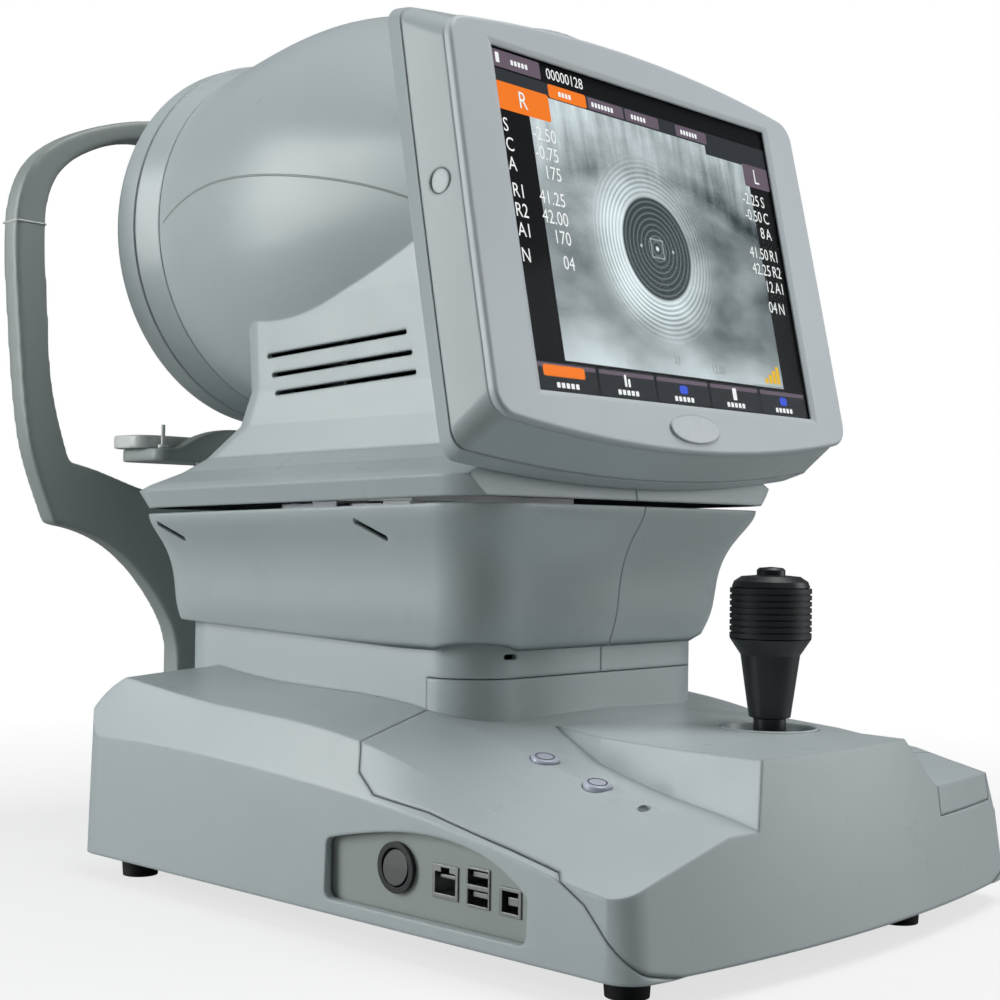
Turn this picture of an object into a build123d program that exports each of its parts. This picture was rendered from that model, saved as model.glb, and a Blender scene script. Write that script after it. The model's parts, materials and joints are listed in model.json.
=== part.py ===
"""Table-top autorefractor in millimetres: +X operator's right, +Y to the patient, +Z up, table at z 0."""

import os
from math import cos, radians, sin

from build123d import *

# Base casing
BASE_HALF_WIDTH = 153.0
BASE_FRONT = -252.0
BASE_REAR = 138.0
BASE_BOTTOM = 12.0
WALL = 3.0
SEAM = 0.5
RIDGE_X = 140.0
DECK_X = 93.0
# y, height of the side crease, shoulder ridge, deck beside the neck, deck on the middle plane
BASE_STATIONS = [
    (152, 72, 101, 107, 110),
    (80, 72, 100, 106, 109),
    (0, 70, 94, 102, 105),
    (-80, 65, 86, 95, 98),
    (-120, 61, 76, 86, 88),
    (-185, 50, 55, 71, 73),
    (-262, 46, 52, 54, 56),
]
# y, then x and z of the console's outline from its left foot to its right foot
CONSOLE_STATIONS = [
    (-262, (-86, 30), (-70, 90), (38, 90), (68, 60), (136, 58), (147, 30)),
    (-196, (-78, 30), (-70, 90), (46, 90), (66, 79), (133, 74), (147, 30)),
    (-150, (-68, 30), (-66, 90.5), (52, 90.5), (74, 87), (132, 80), (147, 30)),
    (-84, (-40, 30), (-38, 90.5), (50, 92), (90, 91), (136, 84), (147, 30)),
]

# Neck, lift cover and measuring head
NECK_HALF_WIDTH = 91.5
NECK_FRONT = -94.6
NECK_REAR = 136.0
NECK_RADIUS = 28.0
NECK_TOP = 165.0
NECK_BAND_TOP = 112.5
# height and flare of the lift cover
SKIRT_STATIONS = [
    (118, 0.0),
    (138, 2.2),
    (152, 4.4),
    (164, 6.6),
    (173, 10.2),
    (181, 15.2),
    (187, 19.0),
    (192, 20.4),
]
SKIRT_HALF_WIDTH = 96.0
SKIRT_FRONT = -101.4
SKIRT_REAR = 143.0
HALF_SEAM_X = 0.0
# The joint between lift cover and head rises towards the operator by this many degrees
JOINT_SLOPE = 1.35
JOINT_LINE_Y = 10.0
PLATE_TOP = 190.0
DRUM_Z = 353.0
# y, half width and half height of the drum casing
DRUM_STATIONS = [
    (-90, 98, 74),
    (-50, 106, 90),
    (0, 113, 104.5),
    (45, 115, 113.5),
    (90, 111.5, 111.5),
    (120, 107, 107),
    (140, 104, 104),
]
# z, half width, front y, rear y, corner radius and slope of the lower head casing
HEAD_STATIONS = [
    (195, 117, -121, 142, 24, 1.35),
    (204.3, 121, -125.6, 147, 25, 1.35),
    (207.5, 117.5, -122, 142, 25, 1.35),
    (214, 105, -116, 129, 24, 1.2),
    (221, 97.5, -111, 117, 23, 1.0),
    (237, 93, -104, 93, 22, 0.5),
    (254, 92, -100, 84, 20, 0),
    (300, 96.5, -92, 82, 20, 0),
    (348, 97.5, -86, 82, 20, 0),
]

# Monitor
SCREEN_TILT = 11.8
SCREEN_CENTRE = (0, -131.1, 321.7)
SCREEN_SIZE = (213, 160)
GLASS_SIZE = (222, 166)
GLASS_FRONT = -0.6
GLASS_BACK = -1.8
BEZEL_FRONT = 1.2
BEZEL_BACK = -3.0
BAND_BACK = -25.5
MONITOR_BACK = -39.0
# outline: half widths at the top, middle and bottom, heights of the top corners, crown,
# bottom corners and sag, corner radius
FRONT_OUTLINE = (133, 135.3, 136.5, 88.3, 99, -91.5, -103.5, 12)
SEAM_OUTLINE = (135.5, 138, 139, 102.5, 113, -101.5, -112, 10)
BACK_OUTLINE = (130.5, 133, 133.5, 108.5, 117.5, -104, -113, 9)

# Joystick
STICK_X = 27.0
STICK_Y = -177.0
STICK_PIVOT_Z = 70.0
SOCKET_TOP = 90.5
RUN = 0.05

# Face rest
FRAME_Y = 206.0
FRAME_THICKNESS = 16.0
FRAME_FOOT = 38.5
CHIN_Y = 236.0

# Lift drive and alignment stages
LIFT_Y = 20.0
COLUMN_SITES = [(-62, LIFT_Y), (62, LIFT_Y)]
COLUMN_RADIUS = 10.0
LIFT_SCREW_RADIUS = 4.0
PLATE_BOTTOM = 184.0
Y_RAIL_X = 50.0
X_RAIL_SPACING = 56.0
RAIL_WIDTH = 9.0

# Optics on the drum's axis
OPTICAL_AXIS = Axis((0, 0, DRUM_Z), (0, 1, 0))
BENCH_TOP = 318.0
BARREL_RADIUS = 25.0
LENS_RADIUS = 20.0
FOCUS_LENS_RADIUS = 14.0
ROD_Z = 330.0
ROD_RADIUS = 3.0

# Screen plane: x to the right, y up the glass, z out of the glass
SCREEN_AXIS = Axis(SCREEN_CENTRE, (0, -cos(radians(SCREEN_TILT)), sin(radians(SCREEN_TILT))))
SCREEN = Plane(SCREEN_CENTRE, x_dir=(1, 0, 0), z_dir=SCREEN_AXIS.direction)
PLUG_SITE = (-113.6, 333.8)
PLUG_RADIUS = 5.8
PLUG_REACH = 135.9

# Small turned parts
PIN_RADIUS = 2.0
BUTTON_RADIUS = 6.8
SPINDLE_RADIUS = 2.5
PRINTER_X = 101.5
ROLL_SITE = (-184, 33)
PLATEN_SITE = (-210, 44)
STEM_RADIUS = 6.0
PAPER_PIN_RADIUS = 1.2

# Seam between the front and rear base covers, seen from the side (y, z)
COVER_SEAM = [
    (-65, 130),
    (-65.5, 97),
    (-73.5, 85),
    (-78.6, 74.5),
    (-92, 66.5),
    (-125, 63),
    (-171, 54),
    (-197, 48.5),
    (-214, 39),
    (-241, 12),
]

# Deck fittings (x, y) and the deck's slope
CHIN_BUTTON_RADIUS = 6.2
CHIN_BUTTON_SITES = {"up": (-90, -138), "down": (-92, -170)}
LED_SITE = (-95, -198)
DECK_NORMAL = Vector(-0.1, -0.21, 1).normalized()

# Port bay on the left side (y, z)
PORT_REAR = -64.0
PORT_FRONT = -185.0
PORT_BOTTOM = 18.5
PORT_DEPTH = 4.5

# Printer lid: it hinges at its lower front edge
LID_X = (70.0, 134.0)
LID_REAR = -203.0
LID_HINGE = (-244.2, 52.0)

# Screw bosses under the casing
BOSS_SITES_REAR = [(-137, 68), (137, 68), (-137, -20), (137, -20)]
BOSS_SITES_FRONT = [(-95, -222), (138, -132)]
BOSS_BOTTOM = BASE_BOTTOM + 2.5

# Connector bay fittings on the left wall: y, z, width along y, height
PANEL_FACE = -BASE_HALF_WIDTH + PORT_DEPTH + 1
SWITCH_SITE = (-106, 37.5)
SWITCH_RADIUS = 11.0
ROCKER_PIVOT = Plane((-147, SWITCH_SITE[0], SWITCH_SITE[1]), x_dir=(1, 0, 0), z_dir=(0, -1, 0))
JACKS = {
    "lan": (-135, 35.5, 15, 14),
    "usb_stack": (-154, 36, 13.1, 16.2),
    "usb_b": (-172, 33, 12, 11.6),
}
# for each jack: its openings, then its tongues, as height above the centre, width and height
JACK_INSIDES = {
    "lan": ([(-0.5, 12, 9), (4.5, 5, 3)], [(2, 9, 1.4)]),
    "usb_stack": ([(4.1, 11.5, 6.2), (-4.1, 11.5, 6.2)], [(5, 9, 2), (-3.2, 9, 2)]),
    "usb_b": ([(0, 9, 8.6)], [(0, 5.4, 3.2)]),
}
INLET_SIZE = (27.0, 20.0)
SOCKET_RADIUS = 23.3
LED_RADIUS = 2.6


def plan_outline(half_width, front, rear, inset):
    """Base outline seen from above: straight sides and rear, bowed front, rounded corners."""
    side = half_width - inset
    bow = 15
    with BuildSketch() as sketch:
        with BuildLine():
            Polyline(
                (-side, front + bow + inset),
                (-side, rear - inset),
                (side, rear - inset),
                (side, front + bow + inset),
            )
            shoulder = front + bow + inset
            ThreePointArc((side, shoulder), (0, front + inset), (-side, shoulder))
        make_face()
        fillet(sketch.vertices().group_by(Axis.Y)[0], 14 - inset)
        fillet(sketch.vertices().group_by(Axis.Y)[-1], 20 - inset)
    return sketch.sketch


def base_volume(inset, bottom=BASE_BOTTOM):
    """Solid that fills the base casing, its skin drawn in by inset."""
    with BuildPart() as volume:
        for y, crease, ridge, deck, middle in BASE_STATIONS:
            half = [
                (BASE_HALF_WIDTH - inset, bottom),
                (BASE_HALF_WIDTH - 1.5 - inset, crease),
                (RIDGE_X - inset, ridge - inset),
                (DECK_X, deck - inset),
            ]
            with BuildSketch(Plane.XZ.offset(-y)):
                with BuildLine():
                    left = [(-x, z) for x, z in half]
                    Polyline(*left, (0, middle - inset), *reversed(half), close=True)
                make_face()
        loft()
        for first, second in zip(CONSOLE_STATIONS, CONSOLE_STATIONS[1:]):
            for y, *outline in (first, second):
                slope = [(x + inset * (1 if x < 0 else -1), z - inset) for x, z in outline]
                with BuildSketch(Plane.XZ.offset(-y)):
                    with BuildLine():
                        Polyline((slope[0][0], bottom), *slope, (slope[-1][0], bottom), close=True)
                    make_face()
            loft(ruled=True)
        if inset:
            with BuildSketch(Plane.XY.offset(bottom)):
                add(plan_outline(BASE_HALF_WIDTH, BASE_FRONT + 13, BASE_REAR, inset))
            extrude(amount=130, mode=Mode.INTERSECT)
        else:
            with BuildSketch(Plane.XY.offset(bottom)):
                add(plan_outline(BASE_HALF_WIDTH - 0.05, BASE_FRONT, BASE_REAR, inset))
            with BuildSketch(Plane.XY.offset(bottom + 120)):
                add(plan_outline(BASE_HALF_WIDTH - 4, BASE_FRONT + 15, BASE_REAR, inset))
            loft(mode=Mode.INTERSECT)
        with BuildSketch(Plane.YZ) as side_view:
            with BuildLine():
                rear = BASE_REAR - inset
                top = 111.5 - inset
                Polyline((76, top), (-300, top), (-300, bottom), (rear, bottom), (rear, 50))
                Spline((rear, 50), (129 - inset, 88 - inset), (76, top), tangents=((-0.06, 1), (-1, 0.1)))
            make_face()
        extrude(amount=BASE_HALF_WIDTH + 10, both=True, mode=Mode.INTERSECT)
    return volume.part


def cover_split(shift):
    """Block above and in front of the cover seam, moved off the seam by shift."""
    with BuildPart() as block:
        with BuildSketch(Plane.YZ):
            with BuildLine():
                seam = [(y - shift, z + shift) for y, z in COVER_SEAM]
                Polyline(*seam, (-280, seam[-1][1]), (-280, seam[0][1]), close=True)
            make_face()
        extrude(amount=BASE_HALF_WIDTH + 10, both=True)
    return block.part


def rounded_plate(half_width, front, rear, radius, inset=0.0):
    """Rounded rectangle in plan, drawn in by inset."""
    with BuildSketch() as sketch:
        with Locations((0, (front + rear) / 2)):
            RectangleRounded(2 * (half_width - inset), rear - front - 2 * inset, radius - inset)
    return sketch.sketch


def stacked_loft(stations, inset=0.0, ruled=False):
    """Loft through rounded rectangles given as z, half width, front, rear, corner radius and slope."""
    with BuildPart() as volume:
        for z, half_width, front, rear, radius, slope in stations:
            tilt = radians(slope)
            level = Plane((0, JOINT_LINE_Y, z), x_dir=(1, 0, 0), z_dir=(0, sin(tilt), cos(tilt)))
            with BuildSketch(level):
                add(rounded_plate(half_width, front - JOINT_LINE_Y, rear - JOINT_LINE_Y, radius, inset))
        loft(ruled=ruled)
    return volume.part


def neck_volume(inset, bottom):
    """Upright rounded column of the neck."""
    with BuildPart() as volume:
        with BuildSketch(Plane.XY.offset(bottom)):
            add(rounded_plate(NECK_HALF_WIDTH, NECK_FRONT, NECK_REAR, NECK_RADIUS, inset))
        extrude(amount=NECK_TOP - bottom + (5 if inset else 0))
    return volume.part


def skirt_volume(inset):
    """Flared lift cover: it widens at the sides and front, less at the rear."""
    stations = []
    for z, flare in SKIRT_STATIONS:
        front = SKIRT_FRONT - flare
        rear = SKIRT_REAR + 0.3 * flare
        slope = JOINT_SLOPE * (z - 118) / 73
        stations.append((z, SKIRT_HALF_WIDTH + flare, front, rear, 28 + 0.2 * flare, slope))
    return stacked_loft(stations, inset, ruled=inset > 0)


def side_block(side, gap=SEAM / 2):
    """Block that keeps one side of the casing halves' joint plane."""
    with BuildPart() as block:
        with Locations((HALF_SEAM_X + side * gap, 0, 250)):
            Box(400, 800, 600, align=(Align.MIN if side > 0 else Align.MAX, Align.CENTER, Align.CENTER))
    return block.part


def deck_plane(x, y):
    """Plane that touches the left deck at x, y."""
    probe = base_outside & Line((x, y, 0), (x, y, 200))
    top = max(vertex.Z for vertex in probe.vertices())
    return Plane(origin=(x, y, top), x_dir=(1, 0, 0.1), z_dir=DECK_NORMAL)


def port_outline(grow=0.0):
    """Arched outline of the port bay on the left wall."""
    with BuildSketch() as sketch:
        with BuildLine():
            rear = PORT_REAR + grow
            front = PORT_FRONT - grow
            bottom = PORT_BOTTOM - grow
            Polyline((rear, 45 + grow), (rear, bottom), (front, bottom), (front, 37 + grow))
            Spline((front, 37 + grow), (-166, 48 + grow), (-117, 54 + grow), (rear, 45 + grow))
        make_face()
        fillet(sketch.vertices(), 4 + grow)
    return sketch.sketch


def lid_block(gap):
    """Block that bounds the printer lid, smaller by gap all round."""
    with BuildPart() as block:
        with BuildSketch(Plane.XY.offset(LID_HINGE[1] + gap - 0.3)):
            with Locations(((LID_X[0] + LID_X[1]) / 2, (LID_REAR - 270) / 2)):
                Rectangle(LID_X[1] - LID_X[0] - 2 * gap, LID_REAR + 270 - 2 * gap)
        extrude(amount=60)
    return block.part


def bosses(sites):
    """Screw bosses that run from the pan up to the underside of the casing."""
    with BuildPart() as posts:
        with BuildSketch(Plane.XY.offset(BOSS_BOTTOM)):
            with Locations(*sites):
                Circle(4)
        extrude(amount=90)
        add(base_inside, mode=Mode.INTERSECT)
        with BuildSketch(Plane.XY.offset(BOSS_BOTTOM)):
            with Locations(*sites):
                Circle(1.5)
        extrude(amount=12, mode=Mode.SUBTRACT)
    return posts.part


def neck_band():
    """Front band of the neck, which belongs to the front cover."""
    with BuildPart() as band:
        add(neck_volume(0, 70))
        add(neck_volume(WALL, 60), mode=Mode.SUBTRACT)
        add(base_outside, mode=Mode.SUBTRACT)
        with Locations((0, NECK_FRONT, NECK_BAND_TOP - 50)):
            Box(300, 60, 100, mode=Mode.INTERSECT)
    return band.part


pieces = {}

# ---------------------------------------------------------------- base casing
base_outside = base_volume(0)
base_inside = base_volume(WALL, bottom=BASE_BOTTOM - 4)

with BuildPart() as base_pan:
    with BuildSketch(Plane.XY.offset(BASE_BOTTOM)):
        add(plan_outline(BASE_HALF_WIDTH, BASE_FRONT + 13, BASE_REAR, WALL + 0.4))
    extrude(amount=BOSS_BOTTOM - BASE_BOTTOM)
    with BuildSketch(Plane.XY.offset(BASE_BOTTOM)):
        with Locations(*BOSS_SITES_REAR, *BOSS_SITES_FRONT):
            Circle(1.7)
    extrude(amount=5, mode=Mode.SUBTRACT)
pieces["base_pan"] = base_pan

with BuildPart() as case_screws:
    with BuildSketch(Plane.XY.offset(BASE_BOTTOM)):
        with Locations(*BOSS_SITES_REAR, *BOSS_SITES_FRONT):
            Circle(1.5)
    extrude(amount=12)
    with BuildSketch(Plane.XY.offset(BASE_BOTTOM - 1.8)):
        with Locations(*BOSS_SITES_REAR, *BOSS_SITES_FRONT):
            Circle(3)
    extrude(amount=1.8)
pieces["case_screws"] = case_screws

FOOT_SITES = [(-130, 109), (130, 109), (-125, -214), (125, -210), (67, -224)]
with BuildPart() as rubber_feet:
    for x, y in FOOT_SITES:
        with Locations((x, y, 0)):
            Cone(9, 10, BASE_BOTTOM, align=(Align.CENTER, Align.CENTER, Align.MIN))
pieces["rubber_feet"] = rubber_feet

with BuildPart() as rear_cover:
    add(base_outside)
    add(base_inside, mode=Mode.SUBTRACT)
    add(cover_split(0), mode=Mode.SUBTRACT)
    with BuildSketch(Plane.XY.offset(80)):
        add(rounded_plate(NECK_HALF_WIDTH, NECK_FRONT, NECK_REAR, NECK_RADIUS, WALL))
    extrude(amount=40, mode=Mode.SUBTRACT)
    with BuildSketch(Plane.YZ.offset(-BASE_HALF_WIDTH + PORT_DEPTH)):
        add(port_outline(2.0))
    extrude(amount=-3)
    with BuildSketch(Plane.YZ.offset(-BASE_HALF_WIDTH + PORT_DEPTH + 1)):
        add(port_outline())
    extrude(amount=-10, mode=Mode.SUBTRACT)
    with BuildSketch(Plane.XZ.offset(-BASE_REAR)):
        with Locations((95, 40)):
            Rectangle(INLET_SIZE[0] + 0.4, INLET_SIZE[1] + 0.4)
    extrude(amount=10, both=True, mode=Mode.SUBTRACT)
    add(bosses(BOSS_SITES_REAR))
pieces["rear_cover"] = rear_cover

with BuildPart() as front_cover:
    add(base_outside)
    add(base_inside, mode=Mode.SUBTRACT)
    add(cover_split(SEAM), mode=Mode.INTERSECT)
    add(lid_block(0), mode=Mode.SUBTRACT)
    with BuildSketch(Plane.XY.offset(60)):
        with Locations((STICK_X, STICK_Y)):
            Circle(SOCKET_RADIUS)
    extrude(amount=60, mode=Mode.SUBTRACT)
    for x, y in CHIN_BUTTON_SITES.values():
        with BuildSketch(deck_plane(x, y)):
            Circle(CHIN_BUTTON_RADIUS + 0.3)
        extrude(amount=15, both=True, mode=Mode.SUBTRACT)
    with BuildSketch(deck_plane(*LED_SITE)):
        Circle(LED_RADIUS)
    extrude(amount=15, both=True, mode=Mode.SUBTRACT)
    add(bosses(BOSS_SITES_FRONT))
    add(neck_band())
pieces["front_cover"] = front_cover

for side, name in ((-1, "neck_cover_left"), (1, "neck_cover_right")):
    with BuildPart() as neck_cover:
        add(neck_volume(0, 70))
        add(neck_volume(WALL, 60), mode=Mode.SUBTRACT)
        add(base_outside, mode=Mode.SUBTRACT)
        add(side_block(side), mode=Mode.INTERSECT)
        with Locations((0, NECK_FRONT, NECK_BAND_TOP - 50 + SEAM)):
            Box(300, 60, 100, mode=Mode.SUBTRACT)
        with BuildSketch(Plane.XZ.offset(-NECK_FRONT)):
            with Locations((-66, 123)):
                SlotOverall(8, 2.6)
        extrude(amount=8, both=True, mode=Mode.SUBTRACT)
    pieces[name] = neck_cover

# ---------------------------------------------------------------- connector bay
with BuildPart() as port_panel:
    with BuildSketch(Plane.YZ.offset(-BASE_HALF_WIDTH + PORT_DEPTH + 1)):
        add(port_outline(2.0))
    extrude(amount=1.6)
    with BuildSketch(Plane.YZ.offset(-BASE_HALF_WIDTH)):
        for y, z, width, height in JACKS.values():
            with Locations((y, z)):
                Rectangle(width, height)
        with Locations(SWITCH_SITE):
            Circle(SWITCH_RADIUS - 1.5)
    extrude(amount=12, mode=Mode.SUBTRACT)
pieces["port_panel"] = port_panel

with BuildPart() as power_switch_body:
    with BuildSketch(Plane.YZ.offset(PANEL_FACE)):
        with Locations(SWITCH_SITE):
            Circle(SWITCH_RADIUS)
    extrude(amount=-2)
    with BuildSketch(Plane.YZ.offset(PANEL_FACE)):
        with Locations(SWITCH_SITE):
            Circle(SWITCH_RADIUS - 1.5)
    extrude(amount=18)
    with BuildSketch(Plane.YZ.offset(PANEL_FACE - 3)):
        with Locations(SWITCH_SITE):
            Circle(SWITCH_RADIUS - 2.6)
    extrude(amount=12, mode=Mode.SUBTRACT)
    with BuildSketch(ROCKER_PIVOT):
        Circle(1 + RUN)
    extrude(amount=SWITCH_RADIUS - 1.9, both=True, mode=Mode.SUBTRACT)
pieces["power_switch_body"] = power_switch_body

with BuildPart() as power_rocker:
    with BuildSketch(Plane.YZ.offset(PANEL_FACE - 3)):
        with Locations(SWITCH_SITE):
            Circle(SWITCH_RADIUS - 3.4)
    extrude(amount=7)
    with BuildSketch(Plane.XZ.offset(-SWITCH_SITE[0])) as tilt:
        with BuildLine():
            tip = SWITCH_RADIUS
            x = PANEL_FACE - 3
            z = SWITCH_SITE[1]
            Polyline((x, z - tip), (x, z + tip), (x + 2.6, z + tip), (x + 1.2, z), (x, z - tip), close=True)
        make_face()
    extrude(amount=SWITCH_RADIUS, both=True, mode=Mode.SUBTRACT)
    with BuildSketch(ROCKER_PIVOT):
        Circle(1)
    extrude(amount=SWITCH_RADIUS - 2, both=True)
pieces["power_rocker"] = power_rocker

with BuildPart() as data_jacks:
    for name, (y, z, width, height) in JACKS.items():
        openings, tongues = JACK_INSIDES[name]
        with BuildSketch(Plane.YZ.offset(PANEL_FACE - 0.6)):
            with Locations((y, z)):
                Rectangle(width, height)
        extrude(amount=18)
        with BuildSketch(Plane.YZ.offset(PANEL_FACE - 0.6)):
            for drop, wide, high in openings:
                with Locations((y, z + drop)):
                    Rectangle(wide, high)
        extrude(amount=11, mode=Mode.SUBTRACT)
        with BuildSketch(Plane.YZ.offset(PANEL_FACE + 1.4)):
            for drop, wide, high in tongues:
                with Locations((y, z + drop)):
                    Rectangle(wide, high)
        extrude(amount=11)
pieces["data_jacks"] = data_jacks

with BuildPart() as power_inlet:
    with BuildSketch(Plane.XZ.offset(-BASE_REAR - 1.5)):
        with Locations((95, 40)):
            RectangleRounded(INLET_SIZE[0] + 5, INLET_SIZE[1] + 5, 2)
    extrude(amount=1.5)
    with BuildSketch(Plane.XZ.offset(-BASE_REAR)):
        with Locations((95, 40)):
            Rectangle(*INLET_SIZE)
    extrude(amount=22)
    with BuildSketch(Plane.XZ.offset(-BASE_REAR - 1.5)):
        with Locations((95, 40)):
            RectangleRounded(INLET_SIZE[0] - 3, INLET_SIZE[1] - 3, 3)
    extrude(amount=18, mode=Mode.SUBTRACT)
    with BuildSketch(Plane.XZ.offset(-BASE_REAR + 2)):
        with Locations((88, 39), (95, 42), (102, 39)):
            Rectangle(2, 4)
    extrude(amount=16)
pieces["power_inlet"] = power_inlet

# ---------------------------------------------------------------- base electronics
with BuildPart() as main_board:
    with BuildSketch(Plane.XY.offset(21)):
        with Locations((-66, -132)):
            Rectangle(130, 120)
    extrude(amount=1.6)
    with BuildSketch(Plane.XY.offset(22.6)):
        with Locations((-40, -110), (-40, -160)):
            Rectangle(24, 24)
        with Locations((-90, -120), (-20, -95)):
            Rectangle(14, 20)
    extrude(amount=3)
    with BuildSketch(Plane.XY.offset(BOSS_BOTTOM)):
        with Locations((-66, -132)):
            with GridLocations(110, 100, 2, 2):
                Circle(3)
    extrude(amount=21 - BOSS_BOTTOM)
pieces["main_board"] = main_board

with BuildPart() as power_supply:
    with Locations((107, 46, BOSS_BOTTOM)):
        Box(46, 94, 36, align=(Align.CENTER, Align.CENTER, Align.MIN))
    chamfer(power_supply.edges().filter_by(Axis.Y), 1.5)
    with BuildSketch(Plane.XY.offset(BOSS_BOTTOM + 34)):
        with Locations((107, 46)):
            with GridLocations(0, 9, 1, 9):
                SlotOverall(34, 3)
    extrude(amount=3, mode=Mode.SUBTRACT)
pieces["power_supply"] = power_supply

# ---------------------------------------------------------------- lift drive
with BuildPart() as lift_columns:
    with BuildSketch(Plane.XY.offset(BOSS_BOTTOM)):
        with Locations(*COLUMN_SITES):
            Circle(18)
    extrude(amount=6)
    with BuildSketch(Plane.XY.offset(BOSS_BOTTOM)):
        with Locations(*COLUMN_SITES):
            Circle(COLUMN_RADIUS)
    extrude(amount=150)
pieces["lift_columns"] = lift_columns

with BuildPart() as lift_motor:
    with Locations((0, LIFT_Y, BOSS_BOTTOM)):
        Box(42, 42, 80, align=(Align.CENTER, Align.CENTER, Align.MIN))
    chamfer(lift_motor.edges().filter_by(Axis.Z), 4)
    with Locations((0, LIFT_Y, BOSS_BOTTOM)):
        Box(56, 56, 4, align=(Align.CENTER, Align.CENTER, Align.MIN))
    with Locations((0, LIFT_Y, BOSS_BOTTOM + 80)):
        Hole(LIFT_SCREW_RADIUS + RUN)
pieces["lift_motor"] = lift_motor

with BuildPart() as lift_plate:
    add(skirt_volume(WALL + 0.4))
    with Locations((0, 20, (PLATE_BOTTOM + PLATE_TOP) / 2)):
        Box(400, 400, PLATE_TOP - PLATE_BOTTOM, mode=Mode.INTERSECT)
    with BuildSketch(Plane.XY.offset(PLATE_BOTTOM)):
        with Locations(*COLUMN_SITES):
            Circle(COLUMN_RADIUS + 4)
    extrude(amount=-72)
    with BuildSketch(Plane.XY.offset(PLATE_BOTTOM)):
        with Locations(*COLUMN_SITES):
            Circle(COLUMN_RADIUS + RUN)
    extrude(amount=-80, mode=Mode.SUBTRACT)
    with Locations((0, LIFT_Y, PLATE_TOP)):
        Hole(5)
pieces["lift_plate"] = lift_plate

with BuildPart() as lift_screw:
    with BuildSketch(Plane.XY.offset(55)):
        with Locations((0, LIFT_Y)):
            Circle(LIFT_SCREW_RADIUS)
    extrude(amount=PLATE_BOTTOM - 55)
    with BuildSketch(Plane.XY.offset(PLATE_BOTTOM)):
        with Locations((0, LIFT_Y)):
            Circle(12)
    extrude(amount=-4)
pieces["lift_screw"] = lift_screw

skirt_shell = skirt_volume(0) - skirt_volume(WALL)
for side, name in ((-1, "skirt_left"), (1, "skirt_right")):
    with BuildPart() as skirt:
        add(skirt_shell)
        add(side_block(side), mode=Mode.INTERSECT)
        with BuildSketch(Plane.YZ) as bottom_cut:
            with BuildLine():
                Polyline((-140, 100), (-140, 122.5), (160, 133), (160, 100), close=True)
            make_face()
        extrude(amount=200, both=True, mode=Mode.SUBTRACT)
        with BuildSketch(Plane.YZ.offset(side * 100)):
            for y, z in ((113, 180), (-45, 182)):
                with Locations(Location((y, z), 26)):
                    SlotOverall(20, 2.6)
        extrude(amount=side * 30, mode=Mode.SUBTRACT)
    pieces[name] = skirt

# ---------------------------------------------------------------- alignment stages
with BuildPart() as y_rails:
    with BuildSketch(Plane.XY.offset(PLATE_TOP)):
        with Locations((-Y_RAIL_X, 10), (Y_RAIL_X, 10)):
            Rectangle(RAIL_WIDTH, 160)
    extrude(amount=6)
pieces["y_rails"] = y_rails

with BuildPart() as y_carriage:
    with Locations((0, 20, 197)):
        Box(124, 84, 4, align=(Align.CENTER, Align.CENTER, Align.MIN))
    with BuildSketch(Plane.XY.offset(PLATE_TOP + 0.6)):
        with Locations((0, 20)):
            with GridLocations(2 * Y_RAIL_X, 56, 2, 2):
                Rectangle(20, 20)
    extrude(amount=197 - PLATE_TOP - 0.6)
    with BuildSketch(Plane.XY.offset(PLATE_TOP)):
        with Locations((-Y_RAIL_X, 20), (Y_RAIL_X, 20)):
            Rectangle(RAIL_WIDTH + 2 * RUN, 120)
    extrude(amount=6 + RUN, mode=Mode.SUBTRACT)
    with BuildSketch(Plane.XY.offset(201)):
        with Locations((0, 20)):
            with GridLocations(60, X_RAIL_SPACING, 2, 2):
                Rectangle(24, 20)
    extrude(amount=9.4)
    with BuildSketch(Plane.XY.offset(205 - RUN)):
        with Locations((0, 20)):
            with GridLocations(0, X_RAIL_SPACING, 1, 2):
                Rectangle(150, RAIL_WIDTH + 2 * RUN)
    extrude(amount=10, mode=Mode.SUBTRACT)
pieces["y_carriage"] = y_carriage

with BuildPart() as x_rails:
    with BuildSketch(Plane.XY.offset(205)):
        with Locations((0, 20)):
            with GridLocations(0, X_RAIL_SPACING, 1, 2):
                Rectangle(176, RAIL_WIDTH)
    extrude(amount=6)
pieces["x_rails"] = x_rails

with BuildPart() as head_base_plate:
    with BuildSketch(Plane.XY.offset(211)):
        add(rounded_plate(90, -88, 92, 24))
    extrude(amount=5)
pieces["head_base_plate"] = head_base_plate

# ---------------------------------------------------------------- head casing
def drum_volume(inset):
    """Drum of the head: round at its patient end, lower towards the monitor."""
    with BuildPart() as drum:
        for y, half_width, half_height in DRUM_STATIONS:
            with BuildSketch(Plane.XZ.offset(-y)):
                with Locations((0, DRUM_Z)):
                    Ellipse(half_width - inset, half_height - inset)
        loft()
        if inset:
            with BuildSketch(Plane.XZ.offset(-DRUM_STATIONS[-1][0])):
                with Locations((0, DRUM_Z)):
                    Circle(DRUM_STATIONS[-1][1] - inset)
            extrude(amount=-1)
    return drum.part


def head_volume(inset):
    """Drum, lower body and flange, cut off where the monitor begins."""
    with BuildPart() as head:
        add(stacked_loft(HEAD_STATIONS, inset, ruled=True))
        add(drum_volume(inset))
        with BuildSketch(SCREEN.offset(MONITOR_BACK - 0.4 - inset)):
            Rectangle(400, 400)
        extrude(amount=-400, mode=Mode.INTERSECT)
    return head.part


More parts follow.
